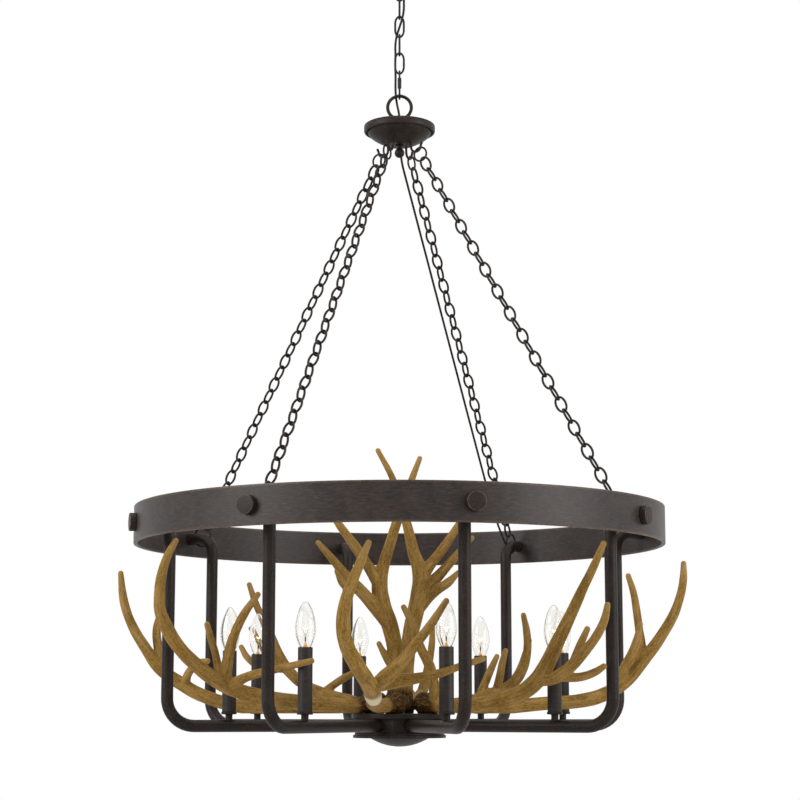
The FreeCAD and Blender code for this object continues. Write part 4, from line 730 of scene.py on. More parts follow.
def glowing_filament():
    """Tungsten coil at working heat: a warm even glow."""
    colours = bpy.context.scene.chandelier_colours
    material, tree = new_material("glowing_filament")
    shader = add_node(tree, "ShaderNodeBsdfPrincipled",
                      {"Base Color": rgba(colours.filament), "Roughness": 0.5,
                       "Emission Color": rgba(colours.filament), "Emission Strength": 5.0})
    add_node(tree, "ShaderNodeOutputMaterial", {}, {"Surface": (shader, "BSDF")})
    return material


def nickel_wire():
    """Drawn nickel and brass of the lamps' caps and leads: bright, with fine drawn streaks."""
    material, tree = new_material("nickel_plated_brass")
    where = add_node(tree, "ShaderNodeTexCoord")
    streak = add_node(tree, "ShaderNodeTexNoise", {"Scale": per_mm(1.5), "Detail": 3.0},
                      {"Vector": (where, "Object")})
    gloss = add_node(tree, "ShaderNodeMapRange", {"To Min": 0.22, "To Max": 0.4}, {"Value": (streak, "Fac")})
    shader = add_node(tree, "ShaderNodeBsdfPrincipled",
                      {"Base Color": rgba(linear("#a3967c")), "Metallic": 1.0},
                      {"Roughness": (gloss, "Result")})
    add_node(tree, "ShaderNodeOutputMaterial", {}, {"Surface": (shader, "BSDF")})
    return material


def mottled(name, size_mm, dark, light, roughness, metallic=0.0, relief_mm=0.1):
    """A plain finish of two close colours in a mottle of a size, with a faint relief."""
    material, tree = new_material(name)
    where = add_node(tree, "ShaderNodeTexCoord")
    mottle = add_node(tree, "ShaderNodeTexNoise", {"Scale": per_mm(size_mm), "Detail": 4.0},
                      {"Vector": (where, "Object")})
    colour = add_node(tree, "ShaderNodeMix",
                      {"data_type": "RGBA", 6: rgba(linear(dark)),
                       7: rgba(linear(light))}, {0: (mottle, "Fac")})
    gloss = add_node(tree, "ShaderNodeMapRange", {"To Min": roughness - 0.08, "To Max": roughness + 0.08},
                     {"Value": (mottle, "Fac")})
    bump = add_node(tree, "ShaderNodeBump", {"Strength": 0.2, "Distance": relief_mm * MM},
                    {"Height": (mottle, "Fac")})
    shader = add_node(tree, "ShaderNodeBsdfPrincipled", {"Metallic": metallic, "Specular IOR Level": 0.25},
                      {"Base Color": (colour, 2), "Roughness": (gloss, "Result"), "Normal": (bump, "Normal")})
    add_node(tree, "ShaderNodeOutputMaterial", {}, {"Surface": (shader, "BSDF")})
    return material


def zinc_plate():
    """Zinc-plated steel: pale grey, slightly cloudy and fairly dull."""
    return mottled("zinc_plated_steel", 9, "#8d8e8b", "#b4b5b0", 0.4, metallic=1.0, relief_mm=0.02)


def phenolic():
    """Moulded phenolic of a lamp socket: black, hard and faintly uneven."""
    return mottled("black_phenolic", 2, "#0f0e0d", "#1d1b19", 0.4)


def cord_vinyl():
    """Brown-black vinyl sheath of a lamp cord: smooth, with a soft shine."""
    return mottled("vinyl_cord_sheath", 5, "#0b0908", "#17120f", 0.42)


def looked_at(tree):
    """One for rays that look at the surround or the floor, straight or through gloss and glass."""
    path = add_node(tree, "ShaderNodeLightPath")
    direct = add_node(tree, "ShaderNodeMath", {"operation": "MAXIMUM"},
                      {0: (path, "Is Camera Ray"), 1: (path, "Is Transmission Ray")})
    return add_node(tree, "ShaderNodeMath", {"operation": "MAXIMUM"},
                    {0: (direct, "Value"), 1: (path, "Is Glossy Ray")})


def plain_floor():
    """Plain matt paint: looked at or mirrored it is paler than it is lit, and it keeps soft shadows."""
    material, tree = new_material("plain_floor")
    where = add_node(tree, "ShaderNodeTexCoord")
    mottle = add_node(tree, "ShaderNodeTexNoise", {"Scale": per_mm(60), "Detail": 3.0},
                      {"Vector": (where, "Object")})
    colour = add_node(tree, "ShaderNodeMix",
                      {"data_type": "RGBA", 6: rgba(linear("#f2f1ef")), 7: rgba(linear("#efeeec"))},
                      {0: (mottle, "Fac")})
    paint = add_node(tree, "ShaderNodeBsdfDiffuse", {}, {"Color": (colour, 2)})
    pale = add_node(tree, "ShaderNodeEmission", {"Strength": 1.0}, {"Color": (colour, 2)})
    share = add_node(tree, "ShaderNodeMath", {"operation": "MULTIPLY", 1: FLOOR_PALE},
                     {0: (looked_at(tree), "Value")})
    both = add_node(tree, "ShaderNodeMixShader", {},
                    {0: (share, "Value"), 1: (paint, "BSDF"), 2: (pale, "Emission")})
    add_node(tree, "ShaderNodeOutputMaterial", {}, {"Surface": (both, "Shader")})
    return material


MAKERS = {
    "hand_rubbed_bronze": hand_rubbed_bronze,
    "brushed_bronze": brushed_bronze,
    "candle_sleeve_paint": candle_sleeve_paint,
    "cast_antler_resin": cast_antler,
    "clear_lamp_glass": lamp_glass,
    "amber_stem_glass": stem_glass,
    "glowing_filament": glowing_filament,
    "nickel_plated_brass": nickel_wire,
    "zinc_plated_steel": zinc_plate,
    "black_phenolic": phenolic,
    "vinyl_cord_sheath": cord_vinyl,
    "plain_floor": plain_floor,
}


def finish_of(name):
    """The material of that name, made the first time it is asked for."""
    return bpy.data.materials.get(name) or MAKERS[name]()


def write_attribute(mesh, name, values, kind="FLOAT", key="value"):
    """Write a value for every corner, for a material to read."""
    attribute = mesh.attributes.new(name, kind, "POINT")
    attribute.data.foreach_set(key, np.asarray(values, np.float32).ravel())


# ------------------------------------------------------------------ stage
class CHANDELIER_OT_stage(bpy.types.Operator):
    """Camera at the photograph's angle, soft lights, a plain floor and a pale surround"""

    bl_idname = "chandelier.stage"
    bl_label = "Stage"

    def execute(self, context):
        self.add_camera(context)
        self.add_lights()
        self.add_floor(context)
        self.add_surround(context)
        context.scene.view_settings.view_transform = "Standard"
        return {"FINISHED"}

    def add_camera(self, context):
        """The photograph's own viewpoint."""
        camera = bpy.data.cameras.new("camera")
        camera.lens = CAMERA_LENS
        camera.sensor_width = SENSOR_WIDTH
        camera.clip_end = 100.0
        view = bpy.data.objects.new("camera", camera)
        view.location = CAMERA_PLACE
        view.rotation_euler = (math.radians(90.0 + CAMERA_PITCH), 0.0, 0.0)
        context.collection.objects.link(view)
        context.scene.camera = view

    def add_lights(self):
        """Three large soft lamps aimed at the fixture's middle."""
        for name, spot, size, power in SOFT_LAMPS:
            lamp = bpy.data.lights.new(name, "AREA")
            lamp.size = size
            lamp.energy = power
            holder = bpy.data.objects.new(name, lamp)
            holder.location = spot
            holder.rotation_euler = (LAMPS_AIM - Vector(spot)).to_track_quat("-Z", "Y").to_euler()
            bpy.context.collection.objects.link(holder)

    def add_floor(self, context):
        """The floor well below the fixture."""
        sizes = context.scene.chandelier_sizes
        half = FLOOR_HALF
        level = -sizes.floor_level
        floor = new_object("floor", [(-half, -half, level), (half, -half, level), (half, half, level),
                                     (-half, half, level)], [], [(0, 1, 2, 3)])
        floor.data.materials.append(finish_of("plain_floor"))

    def add_surround(self, context):
        """White behind the fixture, and a quieter white that lights it."""
        world = bpy.data.worlds.new("surround")
        context.scene.world = world
        world.use_nodes = True
        tree = world.node_tree
        tree.nodes.clear()
        seen = looked_at(tree)
        lighting = add_node(tree, "ShaderNodeBackground", {"Color": (1, 1, 1, 1), "Strength": SURROUND_LIGHT})
        backdrop = add_node(tree, "ShaderNodeBackground", {"Color": (1, 1, 1, 1), "Strength": SURROUND_SEEN})
        both = add_node(tree, "ShaderNodeMixShader", {}, {0: (seen, "Value"), 1: (lighting, "Background"),
                                                          2: (backdrop, "Background")})
        add_node(tree, "ShaderNodeOutputWorld", {}, {"Surface": (both, "Shader")})


# ------------------------------------------------------------------ cords
def nurbs_cord(name, spots, radius):
    """A cord as one smooth spline whose control points are the route."""
    curve = bpy.data.curves.new(name, "CURVE")
    curve.dimensions = "3D"
    curve.bevel_depth = radius
    curve.bevel_resolution = 4
    curve.use_fill_caps = True
    curve.resolution_u = 10
    spline = curve.splines.new("NURBS")
    spline.points.add(len(spots) - 1)
    for point, spot in zip(spline.points, spots):
        point.co = (*spot, 1.0)
    spline.order_u = 3
    spline.use_endpoint_u = True
    obj = bpy.data.objects.new(name, curve)
    bpy.context.collection.objects.link(obj)
    return obj


class CHANDELIER_OT_cords(bpy.types.Operator):
    """The main cord down through the chain, and the feed cord down to one arm"""

    bl_idname = "chandelier.cords"
    bl_label = "Cords"

    def execute(self, context):
        radius = context.scene.chandelier_sizes.cord_radius
        self.add_feed_cord(radius)
        self.add_main_cord(radius)
        return {"FINISHED"}

    def add_feed_cord(self, radius):
        """Held taut between the top canopy and the arm's stub."""
        turn = lift(0) @ azimuth_matrix(FEED_CORD_AZIMUTH)
        spots = [turn @ (Vector(spot) * MM) for spot in FEED_CORD_ROUTE]
        cord = nurbs_cord("feed_cord_run", spots, radius)
        cord.data.materials.append(finish_of("vinyl_cord_sheath"))
        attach(cord, "fixture")
        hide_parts("feed_cord")

    def add_main_cord(self, radius):
        """One smooth cord, cut at the middle of each link and of the quick link into lengths."""
        whole = as_mesh(nurbs_cord("main_cord_whole", [Vector(spot) * MM for spot in MAIN_CORD_ROUTE],
                                   radius))
        bodies = ["ceiling_mount"] + LINK_NAMES + ["quick_link", "fixture"]
        middles = [sum(corner.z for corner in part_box(name)) / 2 for name in LINK_NAMES + ["quick_link"]]
        far_above = whole.data.vertices[0].co.z + 1.0
        far_below = -10.0
        levels = [far_above] + middles + [far_below]
        for index in range(len(bodies) - 1):
            length = copy_of(whole, "main_cord_length_%d" % (index + 1), Matrix.Identity(4))
            for level, keep_below in ((levels[index], True), (levels[index + 1], False)):
                open_mesh(length)
                bpy.ops.mesh.bisect(plane_co=(0, 0, level), plane_no=(0, 0, 1), use_fill=True,
                                    clear_outer=keep_below, clear_inner=not keep_below)
                bpy.ops.object.mode_set(mode="OBJECT")
            smooth(length)
            length.data.materials.append(finish_of("vinyl_cord_sheath"))
            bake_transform(length)
            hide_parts("main_cord")
        remove(whole)

    def hinge_between(self, parent, child):
        """Where the joint between two bodies turns."""
        for joint in frame["joints"]:
            if joint["parent"] == parent and joint["child"] == child:
                return Vector(joint["pos_m"])
        raise RuntimeError("no joint between %s and %s" % (parent, child))


# ------------------------------------------------------------------ chains, loops and hooks
def ring_mesh(name, bar_rad, wire_rad, rounds=32, sides=10):
    """A round ring of wire in the XZ plane, about the origin, sizes in mm."""
    deselect_all()
    bpy.ops.mesh.primitive_torus_add(major_radius=bar_rad * MM, minor_radius=wire_rad * MM,
                                     major_segments=rounds, minor_segments=sides)
    ring = bpy.context.object
    ring.name = name
    ring.data.transform(Matrix.Rotation(math.pi / rounds, 4, "Z"))
    ring.data.transform(Matrix.Rotation(math.pi / 2, 4, "X"))
    return ring


def link_mesh(name, long_mm, wide_mm, wire_rad, rounds=20, sides=8, oval=0.0):
    """A link along Z: a ring whose sections are pulled apart, to an oval or to straight sides."""
    bar_rad = wide_mm / 2 - wire_rad
    link = ring_mesh(name, bar_rad, wire_rad, rounds, sides)
    pull = (long_mm / 2 - wire_rad - bar_rad) * MM
    for section in range(rounds):
        rise = math.sin(2 * math.pi * (section + 0.5) / rounds)
        open_mesh(link)
        bpy.ops.mesh.select_all(action="DESELECT")
        bpy.ops.object.mode_set(mode="OBJECT")
        for vertex in link.data.vertices[section * sides:(section + 1) * sides]:
            vertex.select = True
        way = oval * rise + (1 - oval) * math.copysign(1, rise)
        bpy.ops.object.mode_set(mode="EDIT")
        bpy.ops.transform.translate(value=(0, 0, way * pull))
        bpy.ops.object.mode_set(mode="OBJECT")
    smooth(link, 60.0)
    return link


class CHANDELIER_OT_hanging_chain(bpy.types.Operator):
    """The five links, the quick link with its nut and the two wire loops"""

    bl_idname = "chandelier.hanging_chain"
    bl_label = "Hanging chain"

    def execute(self, context):
        bronze = finish_of("hand_rubbed_bronze")
        self.add_links(bronze)
        self.add_quick_link(bronze)
        self.add_loop("ceiling_loop", CEILING_LOOP_MIDDLE, 1, math.pi / 2, "ceiling_mount", bronze)
        self.add_loop("fixture_loop", FIXTURE_LOOP_MIDDLE, -1, 0.0, "fixture", bronze)
        return {"FINISHED"}

    def add_links(self, bronze):
        """Links turned a quarter each against the last, with a weld on one side."""
        pattern = link_mesh("link_pattern", LINK_LONG, LINK_WIDE, LINK_WIRE_RAD, 28, 12, oval=0.5)
        deselect_all()
        bpy.ops.mesh.primitive_uv_sphere_add(segments=14, ring_count=8, radius=1.0)
        weld = bpy.context.object
        side = (LINK_WIDE / 2 - LINK_WIRE_RAD) * MM
        weld_size = (LINK_WIRE_RAD * 1.08 * MM, LINK_WIRE_RAD * 1.08 * MM, 1.5 * MM)
        weld.data.transform(Matrix.Translation((side, 0, 0)) @ Matrix.Diagonal((*weld_size, 1.0)))
        smooth(weld, 60.0)
        pattern = joined("link_pattern", [pattern, weld])
        for index, name in enumerate(LINK_NAMES):
            low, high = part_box(name)
            turn = Matrix.Rotation(math.pi / 2 * (index % 2), 4, "Z")
            link = copy_of(pattern, name + "_wire", lift(0, (low.z + high.z) / 2) @ turn)
            dress(link, bronze, "rubbed_bronze", name, name)
        remove(pattern)

    def add_quick_link(self, bronze):
        """The narrow oval link and the long six-sided nut on its side."""
        low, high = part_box("quick_link")
        middle = (low.z + high.z) / 2
        wire = link_mesh("quick_link_wire", QUICK_LONG, QUICK_WIDE, QUICK_WIRE_RAD, 28, 12)
        place(wire, lift(0, middle) @ Matrix.Rotation(math.pi / 2, 4, "Z"))
        dress(wire, bronze, "rubbed_bronze", "quick_link", "quick_link")
        deselect_all()
        bpy.ops.mesh.primitive_cylinder_add(vertices=6, radius=QUICK_NUT_RAD * MM, depth=QUICK_NUT_LONG * MM)
        nut = bpy.context.object
        nut.name = "quick_link_sleeve_nut"
        open_mesh(nut)
        close_mesh()
        round_edges(nut, 0.5 * MM)
        place(nut, Matrix.Translation((0, (QUICK_WIRE_RAD - QUICK_WIDE / 2) * MM, middle)))
        dress(nut, bronze, "rubbed_bronze", "quick_link", "quick_link_nut")

    def add_loop(self, node, middle, way, turn, body, bronze):
        """A wire loop on its drilled neck."""
        ring = ring_mesh(node + "_ring", LOOP_BAR_RAD, LOOP_WIRE_RAD, 64, 16)
        place(ring, Matrix.Rotation(turn, 4, "Z"))
        smooth(ring, 60.0)
        low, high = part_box(node)
        far = (high.z - middle if way > 0 else low.z - middle) / MM
        near = way * (LOOP_BAR_RAD - LOOP_WIRE_RAD + 1.2)
        bore = 2.5
        profile = [(bore, near), (NECK_RAD - 2.2, near), (NECK_RAD - 0.4, near + way * 2.4),
                   (NECK_RAD - 0.4, far),
                   (bore, far)]
        neck = turned(node + "_neck", profile, 48, closed=True)
        round_edges(neck, 0.4 * MM)
        loop = joined(node + "_wire", [ring, neck])
        place(loop, lift(0, middle))
        dress(loop, bronze, "rubbed_bronze", body, node)


def pull_line():
    """Start, direction and length in mm of a taut support chain, in its own upright plane."""
    bend = Vector((HOOK_SHANK_AT + HOOK_BEND_RAD, 0, TOP_CANOPY_TIP - HOOK_BEND_BELOW))
    stub = Vector((ARM_REACH + ARM_TOP_BEND - STUB_RING_BACK, 0, HOOP_ABOVE_ARMS))
    pull = (stub - bend).normalized()
    start = bend + pull * (HOOK_BEND_RAD - HOOK_WIRE_RAD - 2 * HOOK_RING_WIRE_RAD + HOOK_RING_RAD)
    finish = stub - pull * (STUB_RING_RAD - 2 * STUB_RING_WIRE_RAD - STUB_HALF_ALONG_PULL)
    return start, pull, (finish - start).length


class CHANDELIER_OT_support_chains(bpy.types.Operator):
    """The four taut chains between the canopy's hooks and the arms' stubs, and the hooks"""

    bl_idname = "chandelier.support_chains"
    bl_label = "Support chains"

    def execute(self, context):
        bronze = finish_of("hand_rubbed_bronze")
        chain = self.chain_pattern()
        for number, azimuth in enumerate(SUPPORT_CHAIN_AZIMUTHS, start=1):
            node = "support_chain_%d" % number
            copy = copy_of(chain, node + "_links", lift(0) @ azimuth_matrix(azimuth))
            dress(copy, bronze, "rubbed_bronze", "fixture", node)
        remove(chain)
        self.add_hooks(bronze)
        return {"FINISHED"}

    def chain_pattern(self):
        """One chain in the plane of +X: a ring, links turned by quarters, and a wider ring."""
        start, pull, distance = pull_line()
        stand = pull.to_track_quat("Z", "Y").to_matrix().to_4x4()
        first_top = HOOK_RING_RAD - 2 * HOOK_RING_WIRE_RAD - SUPPORT_WIRE_RAD
        last_bar = distance - STUB_RING_RAD + 2 * STUB_RING_WIRE_RAD + SUPPORT_WIRE_RAD
        pitch = (last_bar - first_top - 2 * SUPPORT_WIRE_RAD) / SUPPORT_LINKS
        length = pitch + 4 * SUPPORT_WIRE_RAD
        link = link_mesh("small_link", length, SUPPORT_WIDE, SUPPORT_WIRE_RAD, 18, 7, oval=1.0)
        parts = []
        for index in range(SUPPORT_LINKS):
            along = first_top + pitch * index + (length - 2 * SUPPORT_WIRE_RAD) / 2
            spot = Matrix.Translation((start + pull * along) * MM)
            quarter = Matrix.Rotation(math.pi / 2 * ((index + 1) % 2), 4, "Z")
            parts.append(copy_of(link, "link", spot @ stand @ quarter))
        remove(link)
        for along, bar_rad, wire_rad in ((0.0, HOOK_RING_RAD - HOOK_RING_WIRE_RAD, HOOK_RING_WIRE_RAD),
                                         (distance, STUB_RING_RAD - STUB_RING_WIRE_RAD, STUB_RING_WIRE_RAD)):
            ring = ring_mesh("end_ring", bar_rad, wire_rad, 32, 8)
            smooth(ring, 60.0)
            place(ring,
                  Matrix.Translation((start + pull * along) * MM) @ stand @ Matrix.Rotation(math.pi / 2, 4,
                                                                                            "Z"))
            parts.append(ring)
        return joined("chain_pattern", parts)

    def add_hooks(self, bronze):
        """Four J hooks of round wire with upturned tips."""
        level = TOP_CANOPY_TIP - HOOK_BEND_BELOW
        centre = HOOK_SHANK_AT + HOOK_BEND_RAD
        spots = [(HOOK_SHANK_AT, 0, level + 10)]
        for angle in range(180, 361, 30):
            turn = math.radians(angle)
            spots.append((centre + HOOK_BEND_RAD * math.cos(turn), 0, level + HOOK_BEND_RAD * math.sin(turn)))
        spots.append((centre + HOOK_BEND_RAD + 2.5, 0, level + 6))
        hook = as_mesh(tube("hook", [Vector(spot) * MM for spot in spots], HOOK_WIRE_RAD * MM, 4))
        smooth(hook, 60.0)
        copies = [copy_of(hook, "hook",
                          lift(0) @ azimuth_matrix(azimuth)) for azimuth in SUPPORT_CHAIN_AZIMUTHS]
        remove(hook)
        dress(joined("canopy_hooks_wire", copies), bronze, "rubbed_bronze", "fixture", "canopy_hooks")


# ------------------------------------------------------------------ turned metal
class CHANDELIER_OT_ceiling_hardware(bpy.types.Operator):
    """The ceiling canopy and its ring nut, and finishes for the strap, tube and locknut"""

    bl_idname = "chandelier.ceiling_hardware"
    bl_label = "Ceiling hardware"

    def execute(self, context):
        edge = context.scene.chandelier_sizes.edge_round
        bronze = finish_of("hand_rubbed_bronze")
        rim = 63.2
        deep = -24.0
        outer = [(8.6, deep), (30, deep), (44, deep + 0.8), (53, deep + 3.5), (59, deep + 8),
                 (62.4, deep + 14),
                 (rim, -7.5), (rim, 0)]
        inner = [(rim - 1.5, 0), (rim - 1.5, -7.5), (60.8, deep + 14.6), (57.6, deep + 9), (52, deep + 5),
                 (43.6, deep + 2.3), (30, deep + 1.5), (8.6, deep + 1.5)]
        canopy = turned("ceiling_canopy_shell", outer + inner, closed=True)
        smooth(canopy, 30.0)
        dress(canopy, bronze, "rubbed_bronze", "ceiling_mount", "ceiling_canopy")
        low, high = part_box("canopy_collar")
        floor = low.z / MM
        top = high.z / MM
        collar = turned("canopy_ring_nut",
                        [(8.6, floor), (12, floor), (13.6, floor + 1.4), (13.6, top - 0.6), (8.6, top)],
                        72, closed=True)
        round_edges(collar, edge)
        dress(collar, bronze, "rubbed_bronze", "ceiling_mount", "canopy_collar")
        for node in ("crossbar", "canopy_nipple", "nipple_locknut"):
            repaint(node, finish_of("zinc_plated_steel"))
        return {"FINISHED"}


def repaint(node, material):
    """Give a solid whose shape is right a better finish."""
    for slot in frame["nodes"][node].material_slots:
        slot.material = material


class CHANDELIER_OT_top_canopy(bpy.types.Operator):
    """The banded cap over its shallow bowl, and the ball below it"""

    bl_idname = "chandelier.top_canopy"
    bl_label = "Top canopy"

    def execute(self, context):
        bronze = finish_of("hand_rubbed_bronze")
        floor = TOP_CANOPY_FLOOR
        roof = floor + 12.5
        rim = 58.3
        bowl = shaped_profile([(51.6, floor - 1.2), (49.0, floor - 4.6), (44.5, floor - 8.6),
                               (38.0, floor - 12.8),
                               (30.5, floor - 16.8), (24.5, floor - 19.6), (19.5, floor - BOWL_DEEP)], 3)
        band = [(3, roof + 3), (14, roof + 3), (30, roof + 2.4), (48, roof + 1.0), (56.4, roof),
                (57.8, roof - 0.7),
                   (rim, roof - 2.0), (rim, floor + 2.4), (57.6, floor + 0.7), (56.4, floor), (55.0,
                                                                                               floor + 0.4),
                   (54.4, floor + 3.0), (53.4, floor + 2.2), (52.6, floor + 3.0), (51.8, floor + 0.4)]
        cap = turned("top_canopy_cap", band + bowl + [(3, floor - BOWL_DEEP)], closed=True)
        round_edges(cap, 0.4 * MM, 2, 30.0)
        place(cap, lift(0))
        dress(cap, bronze, "rubbed_bronze", "fixture", "top_canopy")
        self.add_ball(bronze)
        return {"FINISHED"}

    def add_ball(self, bronze):
        """A turned ball on a short neck and collar."""
        ball_rad = 8.2
        middle = TOP_CANOPY_TIP - 12.8
        profile = [(ball_rad * math.cos(math.radians(angle)),
                    middle + ball_rad * math.sin(math.radians(angle)))
                   for angle in range(-90, 66, 6)]
        profile += [(3.2, TOP_CANOPY_TIP - 4.4), (3.4, TOP_CANOPY_TIP - 2.4), (4.2, TOP_CANOPY_TIP - 2.0),
                    (6.4, TOP_CANOPY_TIP - 1.9), (6.9, TOP_CANOPY_TIP - 1.4), (6.9, TOP_CANOPY_TIP - 0.4),
                    (6.5, TOP_CANOPY_TIP), (0.0, TOP_CANOPY_TIP)]
        ball = turned("ball_finial_turning", profile, 40)
        smooth(ball, 50.0)
        place(ball, lift(0))
        dress(ball, bronze, "rubbed_bronze", "fixture", "ball_finial")


class CHANDELIER_OT_hoop(bpy.types.Operator):
    """The flat hoop and the round bolts through it"""

    bl_idname = "chandelier.hoop"
    bl_label = "Hoop"

    def execute(self, context):
        half = HOOP_HIGH_MM / 2
        inner = HOOP_RAD - HOOP_WALL
        edge_mark_from = half - 3.5
        outline = [(inner, -half), (HOOP_RAD, -half), (HOOP_RAD, -edge_mark_from), (HOOP_RAD, edge_mark_from), (HOOP_RAD, half),
                   (inner, half), (inner, edge_mark_from), (inner, -edge_mark_from)]
        hoop = turned("hoop_band", outline, 256, closed=True)
        round_edges(hoop, 0.8 * MM, 2, 60.0)
        # the top and bottom edge rows are marked pale: partly rubbed wear, partly a painted highlight
        edge_wear_and_highlight = [max(0.0, (abs(vertex.co.z) / MM - edge_mark_from) / (half - edge_mark_from)) for vertex in hoop.data.vertices]
        write_attribute(hoop.data, "edge_wear_and_highlight", edge_wear_and_highlight)
        place(hoop, Matrix.Translation((0, 0, HOOP_MIDDLE)))
        dress(hoop, finish_of("brushed_bronze"), "rubbed_bronze", "fixture", "ring_band")
        self.add_bolts()
        return {"FINISHED"}

    def add_bolts(self):
        """Flat round heads with a soft edge, and their shanks through to the arms."""
        profile = [(0, -18), (3.4, -18), (4.0, -17.4), (4.0, 0), (13.7, 0), (14.1, 0.4), (14.1, 8.9),
                   (13.9, 9.5),
                   (13.4, 9.85), (12.6, 9.95), (0, 9.95)]
        head = turned("bolt", profile, 48)
        smooth(head, 40.0)
        # the head's rounded rim is marked pale the same way: partly rubbed wear, partly a painted highlight
        rim_high = 9 * MM
        rim_out = 13 * MM
        edge_wear_and_highlight = [1.0 if vertex.co.z > rim_high and math.hypot(vertex.co.x, vertex.co.y) > rim_out else 0.0
                for vertex in head.data.vertices]
        write_attribute(head.data, "edge_wear_and_highlight", edge_wear_and_highlight)
        lying = Matrix.Translation((HOOP_RAD * MM, 0, 0)) @ Matrix.Rotation(math.pi / 2, 4, "Y")
        place(head, lying)
        level = Matrix.Translation((0, 0, HOOP_MIDDLE))
        copies = [copy_of(head, "bolt", level @ azimuth_matrix(azimuth)) for azimuth in ARM_AZIMUTHS]
        remove(head)
        dress(joined("hoop_bolts", copies), finish_of("hand_rubbed_bronze"), "rubbed_bronze", "fixture",
              "ring_bolts")


class CHANDELIER_OT_arms(bpy.types.Operator):
    """The eight bent arms, drawn as one round rod along the arm's bends and copied to each arm"""

    bl_idname = "chandelier.arms"
    bl_label = "Arms"

    def execute(self, context):
        bronze = finish_of("hand_rubbed_bronze")
        arm = self.arm_pattern()
        for number, azimuth in enumerate(ARM_AZIMUTHS, start=1):
            node = "arm_%d" % number
            dress(copy_of(arm, node + "_tube", lift(0) @ azimuth_matrix(azimuth)), bronze, "rubbed_bronze",
                  "fixture", node)
        remove(arm)
        return {"FINISHED"}

    def arm_pattern(self):
        """Level run, low bend, post, top bend and stub, in the plane of +X."""
        spots = [(HUB_FLATS_RAD, 0), (ARM_REACH - ARM_LOW_BEND, 0)]
        for index in range(1, 13):
            angle = math.radians(-90 + 90 * index / 12)
            spots.append((ARM_REACH - ARM_LOW_BEND + ARM_LOW_BEND * math.cos(angle),
                          ARM_LOW_BEND + ARM_LOW_BEND * math.sin(angle)))
        spots.append((ARM_REACH, HOOP_ABOVE_ARMS - ARM_TOP_BEND))
        for index in range(1, 11):
            angle = math.radians(180 - 90 * index / 10)
            spots.append((ARM_REACH + ARM_TOP_BEND + ARM_TOP_BEND * math.cos(angle),
                          HOOP_ABOVE_ARMS - ARM_TOP_BEND + ARM_TOP_BEND * math.sin(angle)))
        spots.append((HOOP_RAD - HOOP_WALL - ROD_INSIDE, HOOP_ABOVE_ARMS))
        rod = tube("arm", [Vector((x, 0, z)) * MM for x, z in spots], (ARM_RAD - ROD_INSIDE) * MM, 6,
                   smooth_run=False)
        rod = as_mesh(rod)
        smooth(rod, 50.0)
        return rod


class CHANDELIER_OT_hub(bpy.types.Operator):
    """The hub's plates and dome, and finishes for its block, rod and nut"""

    bl_idname = "chandelier.hub"
    bl_label = "Hub"

    def execute(self, context):
        bronze = finish_of("hand_rubbed_bronze")
        bore = 4.6
        upper = [(bore, 10.5), (74.0, 10.5), (74.7, 11.2), (74.7, 17.6), (73.6, 18.5), (bore, 18.5)]
        lower = [(bore, -11.5), (69.6, -11.5), (70.3, -12.1), (70.3, -14.4), (72.2, -14.5), (72.8, -15.1),
                 (72.8, -18.4), (72.2, -19.0), (bore, -19.0)]
        # a flat round cap of a large ball: the rim is 45 mm out and the lowest point 13.5 mm down
        deep = HUB_LOW_FACE - HUB_LOWEST - 1.0
        ball = (DOME_RAD ** 2 + deep ** 2) / (2 * deep)
        sweep = math.asin(DOME_RAD / ball)
        dome = [(44.2, HUB_LOW_FACE), (44.8, HUB_LOW_FACE - 0.4)]
        for step in range(11):
            angle = sweep * (1 - step / 10)
            dome.append((ball * math.sin(angle), HUB_LOWEST + ball * (1 - math.cos(angle))))
        for name, profile, closed, node in (("hub_upper_plate", upper, True, "hub_top_plate"),
                                            ("hub_lower_plate", lower, True, "hub_bottom_plate"),
                                            ("hub_dome", [(0, HUB_LOW_FACE)] + dome, False, "bottom_finial")):
            piece = turned(name, profile, closed=closed)
            smooth(piece, 40.0)
            dress(place(piece, lift(0)), bronze, "rubbed_bronze", "fixture", node)
        repaint("hub_block", bronze)
        for node in ("hub_rod", "hub_rod_nut"):
            repaint(node, finish_of("zinc_plated_steel"))
        return {"FINISHED"}


